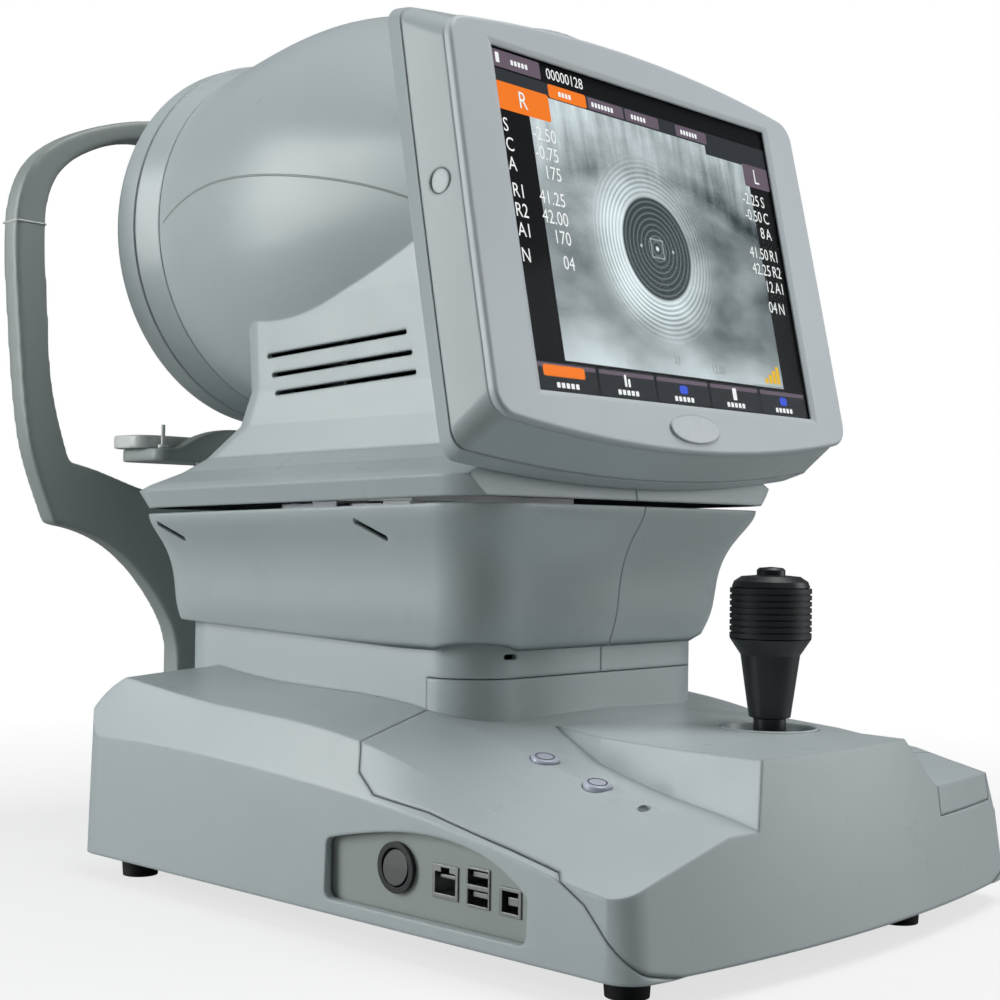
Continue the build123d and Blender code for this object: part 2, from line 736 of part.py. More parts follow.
head_outside = head_volume(0)
head_inside = head_volume(WALL)
VENT_ROWS = [(3, 274.5), (0, 264.5), (-2, 255)]
for side, name in ((-1, "head_cover_left"), (1, "head_cover_right")):
    with BuildPart() as head_cover:
        add(head_outside)
        add(head_inside, mode=Mode.SUBTRACT)
        with BuildSketch(Plane.XY.offset(180)):
            add(rounded_plate(107, -110, 131, 15))
        extrude(amount=23, mode=Mode.SUBTRACT)
        add(side_block(side), mode=Mode.INTERSECT)
        with BuildSketch(Plane.YZ.offset(side * 80)):
            for y, z in VENT_ROWS:
                with Locations(Location((y, z), -2.8)):
                    SlotOverall(106, 2.4)
        extrude(amount=side * 40, mode=Mode.SUBTRACT)
    pieces[name] = head_cover

with BuildPart() as front_ring:
    with BuildSketch(Plane.YZ):
        with BuildLine():
            Polyline((140.6, 448.7), (140.6, 457), (158.2, 460.4), (158.7, 459.4), (159.2, 461), (173, 461))
            ThreePointArc((173, 461), (177, 459.2), (178.5, 455))
            Polyline((178.5, 455), (178.5, 448.7), (140.6, 448.7))
        make_face()
    revolve(axis=OPTICAL_AXIS)
pieces["front_ring"] = front_ring

with BuildPart() as placido_dish:
    with BuildSketch(Plane.YZ):
        with BuildLine():
            Polyline((171, DRUM_Z + 95.5), (174, DRUM_Z + 95.5), (174, DRUM_Z + 84))
            ThreePointArc((174, DRUM_Z + 84), (148, DRUM_Z + 62), (134, DRUM_Z + 23))
            Polyline((134, DRUM_Z + 23), (130, DRUM_Z + 23))
            ThreePointArc((130, DRUM_Z + 23), (145, DRUM_Z + 64), (171, DRUM_Z + 87))
            Line((171, DRUM_Z + 87), (171, DRUM_Z + 95.5))
        make_face()
    revolve(axis=OPTICAL_AXIS)
pieces["placido_dish"] = placido_dish

# ---------------------------------------------------------------- optics
with BuildPart() as optical_bench:
    with Locations((0, 13, BENCH_TOP - 6)):
        Box(96, 184, 6, align=(Align.CENTER, Align.CENTER, Align.MIN))
    with BuildSketch(Plane.XY.offset(216)):
        with Locations((0, 13)):
            with GridLocations(70, 110, 2, 2):
                Circle(6)
    extrude(amount=BENCH_TOP - 6 - 216)
    with Locations((0, 94, BENCH_TOP)):
        Box(40, 18, 24, align=(Align.CENTER, Align.CENTER, Align.MIN))
    with Locations((0, -50, BENCH_TOP), (0, 50, BENCH_TOP)):
        Box(76, 4, 20, align=(Align.CENTER, Align.CENTER, Align.MIN))
    with BuildSketch(Plane.XZ.offset(-52)):
        with Locations((-30, ROD_Z), (30, ROD_Z)):
            Circle(ROD_RADIUS)
    extrude(amount=104)
    with BuildSketch(Plane.XZ.offset(-120)):
        with Locations((0, DRUM_Z)):
            Circle(BARREL_RADIUS)
    extrude(amount=40, mode=Mode.SUBTRACT)
pieces["optical_bench"] = optical_bench

with BuildPart() as objective_barrel:
    with BuildSketch(Plane.XZ.offset(-133)):
        with Locations((0, DRUM_Z)):
            Circle(22.6)
    extrude(amount=20)
    with BuildSketch(Plane.XZ.offset(-118)):
        with Locations((0, DRUM_Z)):
            Circle(BARREL_RADIUS)
    extrude(amount=32)
    with BuildSketch(Plane.XZ.offset(-140)):
        with Locations((0, DRUM_Z)):
            Circle(LENS_RADIUS)
    extrude(amount=80, mode=Mode.SUBTRACT)
pieces["objective_barrel"] = objective_barrel

with BuildPart() as objective_lens:
    with BuildSketch(Plane.XZ.offset(-126)):
        with Locations((0, DRUM_Z)):
            Circle(LENS_RADIUS)
    extrude(amount=6)
    chamfer(objective_lens.edges(), 1.5)
pieces["objective_lens"] = objective_lens

with BuildPart() as focus_carriage:
    with Locations((0, 0, ROD_Z - 8)):
        Box(76, 16, 56, align=(Align.CENTER, Align.CENTER, Align.MIN))
    chamfer(focus_carriage.edges().filter_by(Axis.Y), 3)
    with BuildSketch(Plane.XZ.offset(-8)):
        with Locations((-30, ROD_Z), (30, ROD_Z)):
            Circle(ROD_RADIUS + RUN)
        with Locations((0, DRUM_Z)):
            Circle(FOCUS_LENS_RADIUS)
    extrude(amount=16, mode=Mode.SUBTRACT)
pieces["focus_carriage"] = focus_carriage

with BuildPart() as focus_lens:
    with BuildSketch(Plane.XZ.offset(-3)):
        with Locations((0, DRUM_Z)):
            Circle(FOCUS_LENS_RADIUS)
    extrude(amount=6)
pieces["focus_lens"] = focus_lens

with BuildPart() as camera_module:
    with Locations((0, -66, BENCH_TOP)):
        Box(38, 18, 52, align=(Align.CENTER, Align.CENTER, Align.MIN))
    with BuildSketch(Plane.XZ.offset(57)):
        with Locations((0, DRUM_Z)):
            Circle(11)
    extrude(amount=-5)
pieces["camera_module"] = camera_module

# ---------------------------------------------------------------- monitor
def bezel_outline(shape, shrink=0.0):
    """Monitor outline: a rectangle whose four sides bow outward, with rounded corners."""
    top_x, side, low_x, top_v, crown, low_v, sag, corner = shape
    high_left = (shrink - top_x, top_v - shrink)
    high_right = (top_x - shrink, top_v - shrink)
    low_left = (shrink - low_x, low_v + shrink)
    low_right = (low_x - shrink, low_v + shrink)
    with BuildSketch() as sketch:
        with BuildLine():
            ThreePointArc(high_left, (0, crown - shrink), high_right)
            ThreePointArc(high_right, (side - shrink, 0), low_right)
            ThreePointArc(low_right, (0, sag + shrink), low_left)
            ThreePointArc(low_left, (shrink - side, 0), high_left)
        make_face()
        fillet(sketch.vertices(), corner - shrink)
    return sketch.sketch


def monitor_section(near, near_shape, far, far_shape, shrink=0.0):
    """Solid between two monitor outlines, each at its depth from the glass plane."""
    with BuildPart() as section:
        with BuildSketch(SCREEN.offset(near)):
            add(bezel_outline(near_shape, shrink))
        with BuildSketch(SCREEN.offset(far)):
            add(bezel_outline(far_shape, shrink))
        loft()
    return section.part


with BuildPart() as monitor_bezel:
    with BuildSketch(SCREEN.offset(BEZEL_BACK)):
        add(bezel_outline(FRONT_OUTLINE))
    extrude(amount=BEZEL_FRONT - BEZEL_BACK)
    fillet(monitor_bezel.faces().sort_by(SCREEN_AXIS)[-1].edges(), 1.8)
    with BuildSketch(SCREEN.offset(GLASS_FRONT)):
        Rectangle(*SCREEN_SIZE)
    extrude(amount=10, both=True, mode=Mode.SUBTRACT)
    with BuildSketch(SCREEN):
        Rectangle(*SCREEN_SIZE)
    with BuildSketch(SCREEN.offset(BEZEL_FRONT)):
        Rectangle(SCREEN_SIZE[0] + 7, SCREEN_SIZE[1] + 5)
    loft(mode=Mode.SUBTRACT)
    with BuildSketch(SCREEN.offset(BEZEL_BACK)):
        Rectangle(GLASS_SIZE[0] + 0.4, GLASS_SIZE[1] + 0.4)
    extrude(amount=GLASS_FRONT - BEZEL_BACK, mode=Mode.SUBTRACT)
pieces["monitor_bezel"] = monitor_bezel

with BuildPart() as monitor_side_frame:
    add(monitor_section(BEZEL_BACK - SEAM, FRONT_OUTLINE, BAND_BACK, SEAM_OUTLINE, 0.4))
    add(monitor_section(BEZEL_BACK - SEAM, FRONT_OUTLINE, BAND_BACK, SEAM_OUTLINE, WALL), mode=Mode.SUBTRACT)
    with BuildSketch(Plane.YZ):
        with Locations(PLUG_SITE):
            Circle(PLUG_RADIUS)
    extrude(amount=160, both=True, mode=Mode.SUBTRACT)
pieces["monitor_side_frame"] = monitor_side_frame

with BuildPart() as monitor_back_shell:
    add(monitor_section(BAND_BACK - SEAM, SEAM_OUTLINE, MONITOR_BACK, BACK_OUTLINE))
    fillet(monitor_back_shell.faces().sort_by(SCREEN_AXIS)[0].edges(), 2.5)
    add(
        monitor_section(BAND_BACK - SEAM, SEAM_OUTLINE, MONITOR_BACK + WALL, BACK_OUTLINE, WALL),
        mode=Mode.SUBTRACT,
    )
    with BuildSketch(SCREEN.offset(MONITOR_BACK)):
        Circle(18)
    extrude(amount=WALL, mode=Mode.SUBTRACT)
pieces["monitor_back_shell"] = monitor_back_shell

with BuildPart() as screw_plugs:
    with BuildSketch(Plane.YZ):
        with Locations(PLUG_SITE):
            Circle(PLUG_RADIUS - 0.3)
    extrude(amount=PLUG_REACH, both=True)
    with BuildSketch(Plane.YZ):
        with Locations(PLUG_SITE):
            Circle(PLUG_RADIUS + 1)
    extrude(amount=PLUG_REACH - 3.3, both=True, mode=Mode.SUBTRACT)
pieces["screw_plugs"] = screw_plugs

with BuildPart() as badge:
    with BuildSketch(SCREEN.offset(BEZEL_FRONT)):
        with Locations((0, -92)):
            Ellipse(19.5, 7.2)
    extrude(amount=1.2)
    fillet(badge.faces().sort_by(SCREEN_AXIS)[-1].edges(), 0.8)
pieces["badge"] = badge

with BuildPart() as touch_glass:
    with BuildSketch(SCREEN.offset(GLASS_BACK)):
        Rectangle(*GLASS_SIZE)
    extrude(amount=GLASS_FRONT - GLASS_BACK)
pieces["touch_glass"] = touch_glass

with BuildPart() as lcd_panel:
    with BuildSketch(SCREEN.offset(GLASS_BACK - 7)):
        Rectangle(*GLASS_SIZE)
    extrude(amount=7)
pieces["lcd_panel"] = lcd_panel

# ---------------------------------------------------------------- joystick
STICK = Plane((STICK_X, STICK_Y, 0))
STICK_LINE = Axis((STICK_X, STICK_Y, 0), (0, 0, 1))
STICK_VIEW = Plane((STICK_X, STICK_Y, 0), x_dir=(1, 0, 0), z_dir=(0, -1, 0))


def turned(profile):
    """Body turned on the joystick's axis from a closed list of radius and height."""
    with BuildPart() as body:
        with BuildSketch(STICK_VIEW):
            with BuildLine():
                Polyline(*profile, close=True)
            make_face()
        revolve(axis=STICK_LINE)
    return body.part


with BuildPart() as joystick_socket:
    add(turned([(20, 60), (23, 60), (23, SOCKET_TOP), (22.4, SOCKET_TOP + 0.6), (21.6, SOCKET_TOP), (20, 84)]))
    with BuildSketch(Plane.YZ.offset(STICK_X)):
        with Locations((STICK_Y, STICK_PIVOT_Z)):
            Circle(PIN_RADIUS + RUN)
    extrude(amount=30, both=True, mode=Mode.SUBTRACT)
pieces["joystick_socket"] = joystick_socket

with BuildPart() as gimbal_ring:
    add(turned([(12.5, 66), (17.5, 66), (17.5, 74), (12.5, 74)]))
    with BuildSketch(Plane.YZ.offset(STICK_X - 22.5)):
        with Locations((STICK_Y, STICK_PIVOT_Z)):
            Circle(PIN_RADIUS)
    extrude(amount=45)
    with BuildSketch(STICK.offset(60)):
        Circle(12.5)
    extrude(amount=20, mode=Mode.SUBTRACT)
    with BuildSketch(Plane.XZ.offset(-STICK_Y)):
        with Locations((STICK_X, STICK_PIVOT_Z)):
            Circle(PIN_RADIUS + RUN)
    extrude(amount=30, both=True, mode=Mode.SUBTRACT)
pieces["gimbal_ring"] = gimbal_ring

with BuildPart() as joystick_stick:
    add(turned([(0, 64), (7, 64), (7.75, 76), (16.6, 78.5), (16.6, 80), (7.75, 81), (7.75, 95), (9.9, 95.6),
                (14.1, 125), (19.3, 132.8), (10, 132.8), (10, 157.2), (18.6, 157.2), (17.6, 160), (14, 162.4),
                (0, 163.6)]))
    with BuildSketch(Plane.XZ.offset(-STICK_Y - 17.4)):
        with Locations((STICK_X, STICK_PIVOT_Z)):
            Circle(PIN_RADIUS)
    extrude(amount=34.8)
    with BuildSketch(STICK.offset(155)):
        Circle(BUTTON_RADIUS + RUN)
    extrude(amount=20, mode=Mode.SUBTRACT)
pieces["joystick_stick"] = joystick_stick

with BuildPart() as joystick_grip:
    with BuildSketch(STICK.offset(133.2)):
        Circle(19.4)
        Circle(10 + RUN, mode=Mode.SUBTRACT)
    extrude(amount=23.6)
    with BuildSketch(STICK_VIEW):
        for level in range(7):
            with Locations((19.4, 136 + 3 * level)):
                Rectangle(1.6, 1.0)
    revolve(axis=STICK_LINE, mode=Mode.SUBTRACT)
pieces["joystick_grip"] = joystick_grip

with BuildPart() as measure_button:
    add(turned([(0, 158), (BUTTON_RADIUS, 158), (BUTTON_RADIUS, 165.4), (BUTTON_RADIUS - 1.2, 166.5), (0, 167)]))
pieces["measure_button"] = measure_button

# ---------------------------------------------------------------- console fittings
for direction, site in CHIN_BUTTON_SITES.items():
    with BuildPart() as chin_button:
        with BuildSketch(deck_plane(*site).offset(-6)):
            Circle(CHIN_BUTTON_RADIUS)
        extrude(amount=7.6)
        fillet(chin_button.edges().sort_by(Axis.Z)[-1], 1.2)
    pieces["chin_button_" + direction] = chin_button

with BuildPart() as status_led:
    with BuildSketch(deck_plane(*LED_SITE).offset(-5)):
        Circle(LED_RADIUS - 0.1)
    extrude(amount=4.6)
pieces["status_led"] = status_led

with BuildPart() as printer_cover:
    add(base_outside)
    add(base_inside, mode=Mode.SUBTRACT)
    add(lid_block(SEAM), mode=Mode.INTERSECT)
pieces["printer_cover"] = printer_cover

with BuildPart() as printer_frame:
    with Locations((PRINTER_X, -189, BOSS_BOTTOM)):
        Box(68, 60, 36, align=(Align.CENTER, Align.CENTER, Align.MIN))
        Box(61, 54, 40, align=(Align.CENTER, Align.CENTER, Align.MIN), mode=Mode.SUBTRACT)
    with BuildSketch(Plane.YZ.offset(60)):
        with Locations(ROLL_SITE, PLATEN_SITE):
            Circle(SPINDLE_RADIUS + RUN)
    extrude(amount=90, mode=Mode.SUBTRACT)
pieces["printer_frame"] = printer_frame

with BuildPart() as paper_roll:
    with BuildSketch(Plane.YZ.offset(PRINTER_X - 29)):
        with Locations(ROLL_SITE):
            Circle(17)
    extrude(amount=58)
    with BuildSketch(Plane.YZ.offset(PRINTER_X - 33)):
        with Locations(ROLL_SITE):
            Circle(SPINDLE_RADIUS)
    extrude(amount=66)
pieces["paper_roll"] = paper_roll

with BuildPart() as platen_roller:
    with BuildSketch(Plane.YZ.offset(PRINTER_X - 29)):
        with Locations(PLATEN_SITE):
            Circle(5)
    extrude(amount=58)
    with BuildSketch(Plane.YZ.offset(PRINTER_X - 33)):
        with Locations(PLATEN_SITE):
            Circle(SPINDLE_RADIUS)
    extrude(amount=66)
pieces["platen_roller"] = platen_roller

# ---------------------------------------------------------------- face rest
with BuildPart() as face_frame:
    with BuildSketch(Plane.XZ.offset(-FRAME_Y)) as outline:
        with BuildLine():
            Spline((0, 430), (-100, 416), (-141, 390), (-151.3, 312), (-142, 230), (-125, 183),
                   tangents=((-1, 0), (0.42, -1)))
            Spline((-125, 183), (-80, 166.5), (-46, 128), (-FRAME_FOOT, 92), tangents=((1, -0.12), (0, -1)))
            Polyline((-FRAME_FOOT, 92), (0, 92), (0, 200))
            Spline((0, 200), (-62, 204), (-115.5, 219), tangents=((-1, 0), (-1, 0.15)))
            Spline((-115.5, 219), (-128, 264), (-132, 314), (-123, 387), (-95, 405), (0, 411),
                   tangents=((-0.35, 1), (1, 0)))
            Line((0, 411), (0, 430))
        make_face()
        mirror(about=Plane.YZ)
    extrude(amount=-FRAME_THICKNESS)
    with BuildSketch(Plane.YZ.offset(-FRAME_FOOT)):
        with BuildLine():
            Line((BASE_REAR, 38), (190, 38))
            RadiusArc((190, 38), (222, 70), -32)
            Polyline((222, 70), (222, 92), (206, 92), (206, 78))
            RadiusArc((206, 78), (190, 62), 16)
            Polyline((190, 62), (BASE_REAR, 62), (BASE_REAR, 38))
        make_face()
    extrude(amount=2 * FRAME_FOOT)
pieces["face_frame"] = face_frame

with BuildPart() as forehead_pad:
    with BuildSketch(Plane.XY.offset(403)):
        with BuildLine():
            Line((-52, 222.2), (52, 222.2))
            ThreePointArc((52, 222.2), (58, 229), (52, 235))
            ThreePointArc((52, 235), (0, 229), (-52, 235))
            ThreePointArc((-52, 235), (-58, 229), (-52, 222.2))
        make_face()
    extrude(amount=28)
pieces["forehead_pad"] = forehead_pad

with BuildPart() as chinrest_column:
    with BuildSketch(Plane.XY.offset(60)):
        with Locations((0, 222.3 + 13.6)):
            RectangleRounded(42, 27.2, 6)
    extrude(amount=140)
    with BuildSketch(Plane.XY.offset(80)):
        with Locations((0, CHIN_Y)):
            Circle(STEM_RADIUS + RUN)
    extrude(amount=140, mode=Mode.SUBTRACT)
pieces["chinrest_column"] = chinrest_column

with BuildPart() as chinrest_stem:
    with BuildSketch(Plane.XY.offset(112)):
        with Locations((0, CHIN_Y)):
            Circle(STEM_RADIUS)
    extrude(amount=110)
pieces["chinrest_stem"] = chinrest_stem

with BuildPart() as chinrest_arm:
    with BuildSketch(Plane.XY.offset(222)):
        with Locations((0, 224.5)):
            RectangleRounded(114, 47, 10)
    extrude(amount=8)
    with BuildSketch(Plane.XZ.offset(-201.5)):
        with BuildLine():
            Line((-42, 230), (42, 230))
            ThreePointArc((42, 230), (0, 243.5), (-42, 230))
        make_face()
    extrude(amount=-12)
pieces["chinrest_arm"] = chinrest_arm

with BuildPart() as chinrest_cup:
    with BuildSketch(Plane.XY.offset(230)):
        with Locations((0, 233.2)):
            RectangleRounded(124, 37.6, 12)
    extrude(amount=8)
    with BuildSketch(Plane.XZ.offset(-260)):
        with Locations((0, 330)):
            Ellipse(75, 96)
    extrude(amount=60, mode=Mode.SUBTRACT)
pieces["chinrest_cup"] = chinrest_cup

with BuildPart() as paper_pins:
    with BuildSketch(Plane.XY.offset(230)):
        with Locations((-51, 208), (51, 208)):
            Circle(3)
    extrude(amount=2)
    with BuildSketch(Plane.XY.offset(230)):
        with Locations((-51, 208), (51, 208)):
            Circle(PAPER_PIN_RADIUS)
    extrude(amount=14)
pieces["paper_pins"] = paper_pins

os.makedirs("parts", exist_ok=True)
for name, piece in pieces.items():
    piece.part.label = name
    export_step(piece.part, f"parts/{name}.step")
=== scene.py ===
import json
from math import cos, exp, pi, radians, sin

import bpy
import numpy as np
from mathutils import Matrix, Vector
from mathutils.bvhtree import BVHTree

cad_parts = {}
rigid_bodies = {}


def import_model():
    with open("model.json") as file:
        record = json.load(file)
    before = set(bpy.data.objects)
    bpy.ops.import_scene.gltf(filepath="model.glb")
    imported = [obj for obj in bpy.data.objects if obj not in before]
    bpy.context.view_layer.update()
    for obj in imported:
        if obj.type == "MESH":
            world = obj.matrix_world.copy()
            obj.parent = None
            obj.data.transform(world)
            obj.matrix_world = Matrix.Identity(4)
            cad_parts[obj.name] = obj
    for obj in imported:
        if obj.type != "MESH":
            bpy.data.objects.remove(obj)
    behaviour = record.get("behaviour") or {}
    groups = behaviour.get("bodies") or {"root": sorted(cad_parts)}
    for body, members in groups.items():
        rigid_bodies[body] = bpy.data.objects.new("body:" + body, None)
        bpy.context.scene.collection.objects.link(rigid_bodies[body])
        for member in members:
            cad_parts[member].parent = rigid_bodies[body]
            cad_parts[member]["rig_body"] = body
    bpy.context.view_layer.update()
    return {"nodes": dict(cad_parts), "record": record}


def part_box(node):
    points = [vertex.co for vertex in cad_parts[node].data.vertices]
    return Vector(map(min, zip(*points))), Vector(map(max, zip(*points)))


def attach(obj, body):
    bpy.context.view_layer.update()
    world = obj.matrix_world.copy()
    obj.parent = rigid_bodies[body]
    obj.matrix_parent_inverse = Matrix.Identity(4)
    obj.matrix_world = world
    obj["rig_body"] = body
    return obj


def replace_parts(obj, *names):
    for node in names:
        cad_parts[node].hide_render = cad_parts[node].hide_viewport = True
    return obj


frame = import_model()
NODES = frame["nodes"]
MM = 0.001


# ---------------------------------------------------------------- node materials
def linear(*srgb):
    """Scene-linear colour, with alpha, from 0-255 display values."""
    out = []
    for value in srgb:
        c = value / 255
        out.append(c / 12.92 if c <= 0.04045 else ((c + 0.055) / 1.055) ** 2.4)
    return (*out, 1.0)


class Tree:
    """A node tree under construction: add() makes a node and sets or links its inputs."""

    def __init__(self, owner):
        owner.use_nodes = True
        self.tree = owner.node_tree
        self.tree.nodes.clear()

    def add(self, kind, inputs=None, **settings):
        node = self.tree.nodes.new("ShaderNode" + kind)
        for key, value in settings.items():
            setattr(node, key, value)
        for key, value in (inputs or {}).items():
            if isinstance(value, bpy.types.NodeSocket):
                self.tree.links.new(value, node.inputs[key])
            else:
                node.inputs[key].default_value = value
        return node

    def noise(self, vector, scale, detail=2.0, roughness=0.5):
        return self.add("TexNoise", {"Vector": vector, "Scale": scale, "Detail": detail,
                                     "Roughness": roughness}).outputs[0]

    def remap(self, value, low, high, start=0.0, end=1.0):
        return self.add("MapRange", {"Value": value, "From Min": start, "From Max": end,
                                     "To Min": low, "To Max": high}).outputs[0]

    def math(self, operation, a, b=0.0):
        return self.add("Math", {0: a, 1: b}, operation=operation).outputs[0]

    def product(self, first, *others):
        for other in others:
            first = self.math("MULTIPLY", first, other)
        return first

    def total(self, first, *others):
        for other in others:
            first = self.math("ADD", first, other)
        return first

    def length(self, a, b):
        return self.math("SQRT", self.total(self.product(a, a), self.product(b, b)))

    def mix(self, factor, a, b):
        return self.add("Mix", {0: factor, 6: a, 7: b}, data_type="RGBA").outputs[2]

    def bevel(self, radius):
        return self.add("Bevel", {"Radius": radius}, samples=4).outputs[0]

    def bump(self, height, distance, normal=None):
        inputs = {"Height": height, "Distance": distance, "Strength": 1.0}
        if normal is not None:
            inputs["Normal"] = normal
        return self.add("Bump", inputs).outputs[0]

    def principled(self, **inputs):
        """Ends the tree with a Principled surface; underscores in the names stand for spaces."""
        named = {key.replace("_", " "): value for key, value in inputs.items()}
        self.finish(self.add("BsdfPrincipled", named))

    def finish(self, shader, output="OutputMaterial"):
        self.add(output, {"Surface": shader.outputs[0]})


def new_material(name):
    material = bpy.data.materials.new(name)
    return material, Tree(material)


def scaled(colour, factor, lift=0.0):
    """The colour made lighter or darker, never above white."""
    return tuple(min(1, c * factor + lift) for c in colour[:3]) + (1,)


EDGE_HIGHLIGHT_AND_HOLLOW_SHADE = 0.1  # strength of the painted highlight on the edges and of the painted shade in the hollows


def moulded(name, colour, rough=0.42, grain=1500.0, depth=0.02, mottle=0.05, round_edge=0.0,
            coat=0.0, specular=0.5, tint=None):
    """Moulded plastic or rubber: faint tone drift, fine grain, a painted highlight on the edges and painted
    shade in the hollows.
    """
    material, t = new_material(name)
    where = t.add("TexCoord").outputs["Object"]
    drift = t.noise(where, 7.0, 3.0)
    cloud = t.noise(where, 55.0, 4.0)
    fine = t.noise(where, grain, 2.0)
    base = t.mix(t.remap(drift, 0, 1, 0.35, 0.65), scaled(colour, 1 - mottle), scaled(colour, 1 + mottle))
    if tint is not None:
        base = t.mix(t.remap(cloud, 0, 0.5, 0.4, 0.7), base, tint)
    point = t.add("NewGeometry").outputs["Pointiness"]
    # Painted light by pointiness: lighter on convex edges (painted highlight), darker in hollows (painted
    # shade).
    base = t.mix(t.remap(point, 0, EDGE_HIGHLIGHT_AND_HOLLOW_SHADE, 0.52, 0.62), base, scaled(colour, 1.35, 0.02))
    base = t.mix(t.remap(point, EDGE_HIGHLIGHT_AND_HOLLOW_SHADE, 0, 0.40, 0.48), base, scaled(colour, 0.6))
    sheen = t.total(t.remap(cloud, rough - 0.03, rough + 0.03, 0.3, 0.7),
                    t.remap(fine, -0.02, 0.02, 0.3, 0.7))
    normal = t.bump(fine, depth * MM, t.bevel(round_edge * MM) if round_edge else None)
    t.principled(Base_Color=base, Roughness=sheen, Normal=normal, Coat_Weight=coat, Coat_Roughness=0.25,
                 Specular_IOR_Level=specular)
    return material


DRAWN_DEPTH = 0.01 * MM
METAL_EDGE = 0.4 * MM
PIXEL_GRID = 2200.0


def metal(name, colour, rough, brushed=(4, 4, 900)):
    """Machined metal: fine drawn lines along one direction, and patchy roughness."""
    material, t = new_material(name)
    where = t.add("TexCoord").outputs["Object"]
    lines = t.noise(t.add("Mapping", {"Vector": where, "Scale": brushed}).outputs[0], 1.0, 3.0)
    patch = t.noise(where, 60.0, 3.0)
    base = t.mix(lines, scaled(colour, 0.8), colour)
    sheen = t.total(t.remap(lines, rough - 0.06, rough + 0.06), t.remap(patch, -0.05, 0.05))
    normal = t.bump(lines, DRAWN_DEPTH, t.bevel(METAL_EDGE))
    t.principled(Base_Color=base, Metallic=1.0, Roughness=sheen, Normal=normal)
    return material


def lit(t, colour, strength):
    """Ends a display material: a nearly black, dull sheet that shines by itself."""
    t.principled(Base_Color=(0.01, 0.01, 0.012, 1), Roughness=0.5, Specular_IOR_Level=0.05,
                 Emission_Color=colour, Emission_Strength=strength)


def glowing(name, colour, strength):
    """Lit part of the display: colour with a fine pixel grid over it."""
    material, t = new_material(name)
    where = t.add("TexCoord").outputs["Object"]
    grid = t.add("TexWave", {"Vector": where, "Scale": PIXEL_GRID, "Distortion": 0.0}).outputs[1]
    cloud = t.noise(where, 20.0, 2.0)
    base = t.mix(t.remap(cloud, 0.0, 0.25), colour, scaled(colour, 0.75))
    base = t.mix(t.remap(grid, 0.0, 0.08), base, (0, 0, 0, 1))
    lit(t, base, strength)
    return material


def clear_glass(name, tint, rough, haze=0.02, reflect=1.0):
    """Thin clear plate: lets what is behind it show and reflects by angle, with faint smears."""
    material, t = new_material(name)
    where = t.add("TexCoord").outputs["Object"]
    smear = t.noise(where, 30.0, 5.0, 0.6)
    fresnel = t.add("Fresnel", {"IOR": 1.45}).outputs[0]
    shine = t.product(fresnel, t.remap(smear, 0.85 * reflect, reflect, 0.3, 0.7))
    gloss_rough = t.remap(smear, rough, rough + haze, 0.3, 0.7)
    gloss = t.add("BsdfGlossy", {"Color": (1, 1, 1, 1), "Roughness": gloss_rough}).outputs[0]
    clear = t.add("BsdfTransparent", {"Color": tint}).outputs[0]
    t.finish(t.add("MixShader", {0: shine, 1: clear, 2: gloss}))
    return material


MATERIALS = {
    "cover_plastic": moulded("satin_casing", linear(184, 193, 195), 0.31, depth=0.012, mottle=0.02,
                             round_edge=2.0),
    "bezel_plastic": moulded("bezel_casing", linear(198, 205, 209), 0.38, depth=0.012, mottle=0.02,
                             round_edge=1.5),
    "badge_plastic": moulded("badge_enamel", linear(176, 184, 188), 0.25, 900, 0.01, 0.02, round_edge=0.5,
                             coat=0.5),
    "panel_plastic": moulded("panel_casing", linear(160, 168, 164), 0.5, 1300, 0.03, 0.03, round_edge=0.5),
    "frame_plastic": moulded("face_rest_casing", linear(150, 158, 156), 0.4, depth=0.012, mottle=0.03),
    "chin_plastic": moulded("chin_rest_casing", linear(214, 216, 214), 0.35, depth=0.01, mottle=0.02,
                            round_edge=0.8),
    "pad_rubber": moulded("silicone_pad", linear(96, 104, 108), 0.55, 1800, 0.02, 0.05, specular=0.4),
    "foot_rubber": moulded("foot_rubber", linear(26, 26, 28), 0.7, 1200, 0.05, 0.15, round_edge=0.8),
    "grip_rubber": moulded("grip_rubber", linear(30, 30, 33), 0.55, 1500, 0.04, 0.12, round_edge=0.2),
    "black_plastic": moulded("black_casing", linear(30, 31, 34), 0.38, 1500, 0.02, 0.1, round_edge=0.5),
    "button_plastic": moulded("button_lacquer", linear(190, 194, 210), 0.22, 1100, 0.008, 0.04, coat=0.6),
    "led_lens": moulded("led_lens", linear(90, 96, 98), 0.2, 1000, 0.01, 0.05, coat=0.8),
    "jack_metal": metal("jack_shell", linear(150, 152, 150), 0.35),
    "circuit_board": moulded("board_lacquer", linear(28, 74, 48), 0.35, 500, 0.05, 0.15,
                             tint=linear(40, 98, 62)),
    "ground_steel": metal("ground_steel", linear(190, 192, 195), 0.22),
    "sheet_steel": metal("sheet_steel", linear(160, 164, 168), 0.4, (90, 4, 4)),
    "machined_aluminium": metal("machined_aluminium", linear(200, 202, 205), 0.32, (4, 300, 4)),
    "motor_black": moulded("motor_enamel", linear(34, 35, 38), 0.45, 800, 0.04, 0.1, round_edge=0.5),
    "lens_glass": clear_glass("coated_lens", linear(150, 120, 190), 0.02),
    "screen_glass": clear_glass("screen_glass", (0.97, 0.98, 0.98, 1), 0.06, 0.05, 0.07),
    "display": glowing("display_black", linear(3, 4, 6), 0.6),
    "paper": moulded("thermal_paper", linear(236, 234, 228), 0.7, 600, 0.03, 0.03),
}
SLOTS = {row["node"]: row["material_slot"] for row in frame["record"]["subparts"]}
for name, node in NODES.items():
    node.data.materials.clear()
    node.data.materials.append(MATERIALS[SLOTS[name]])


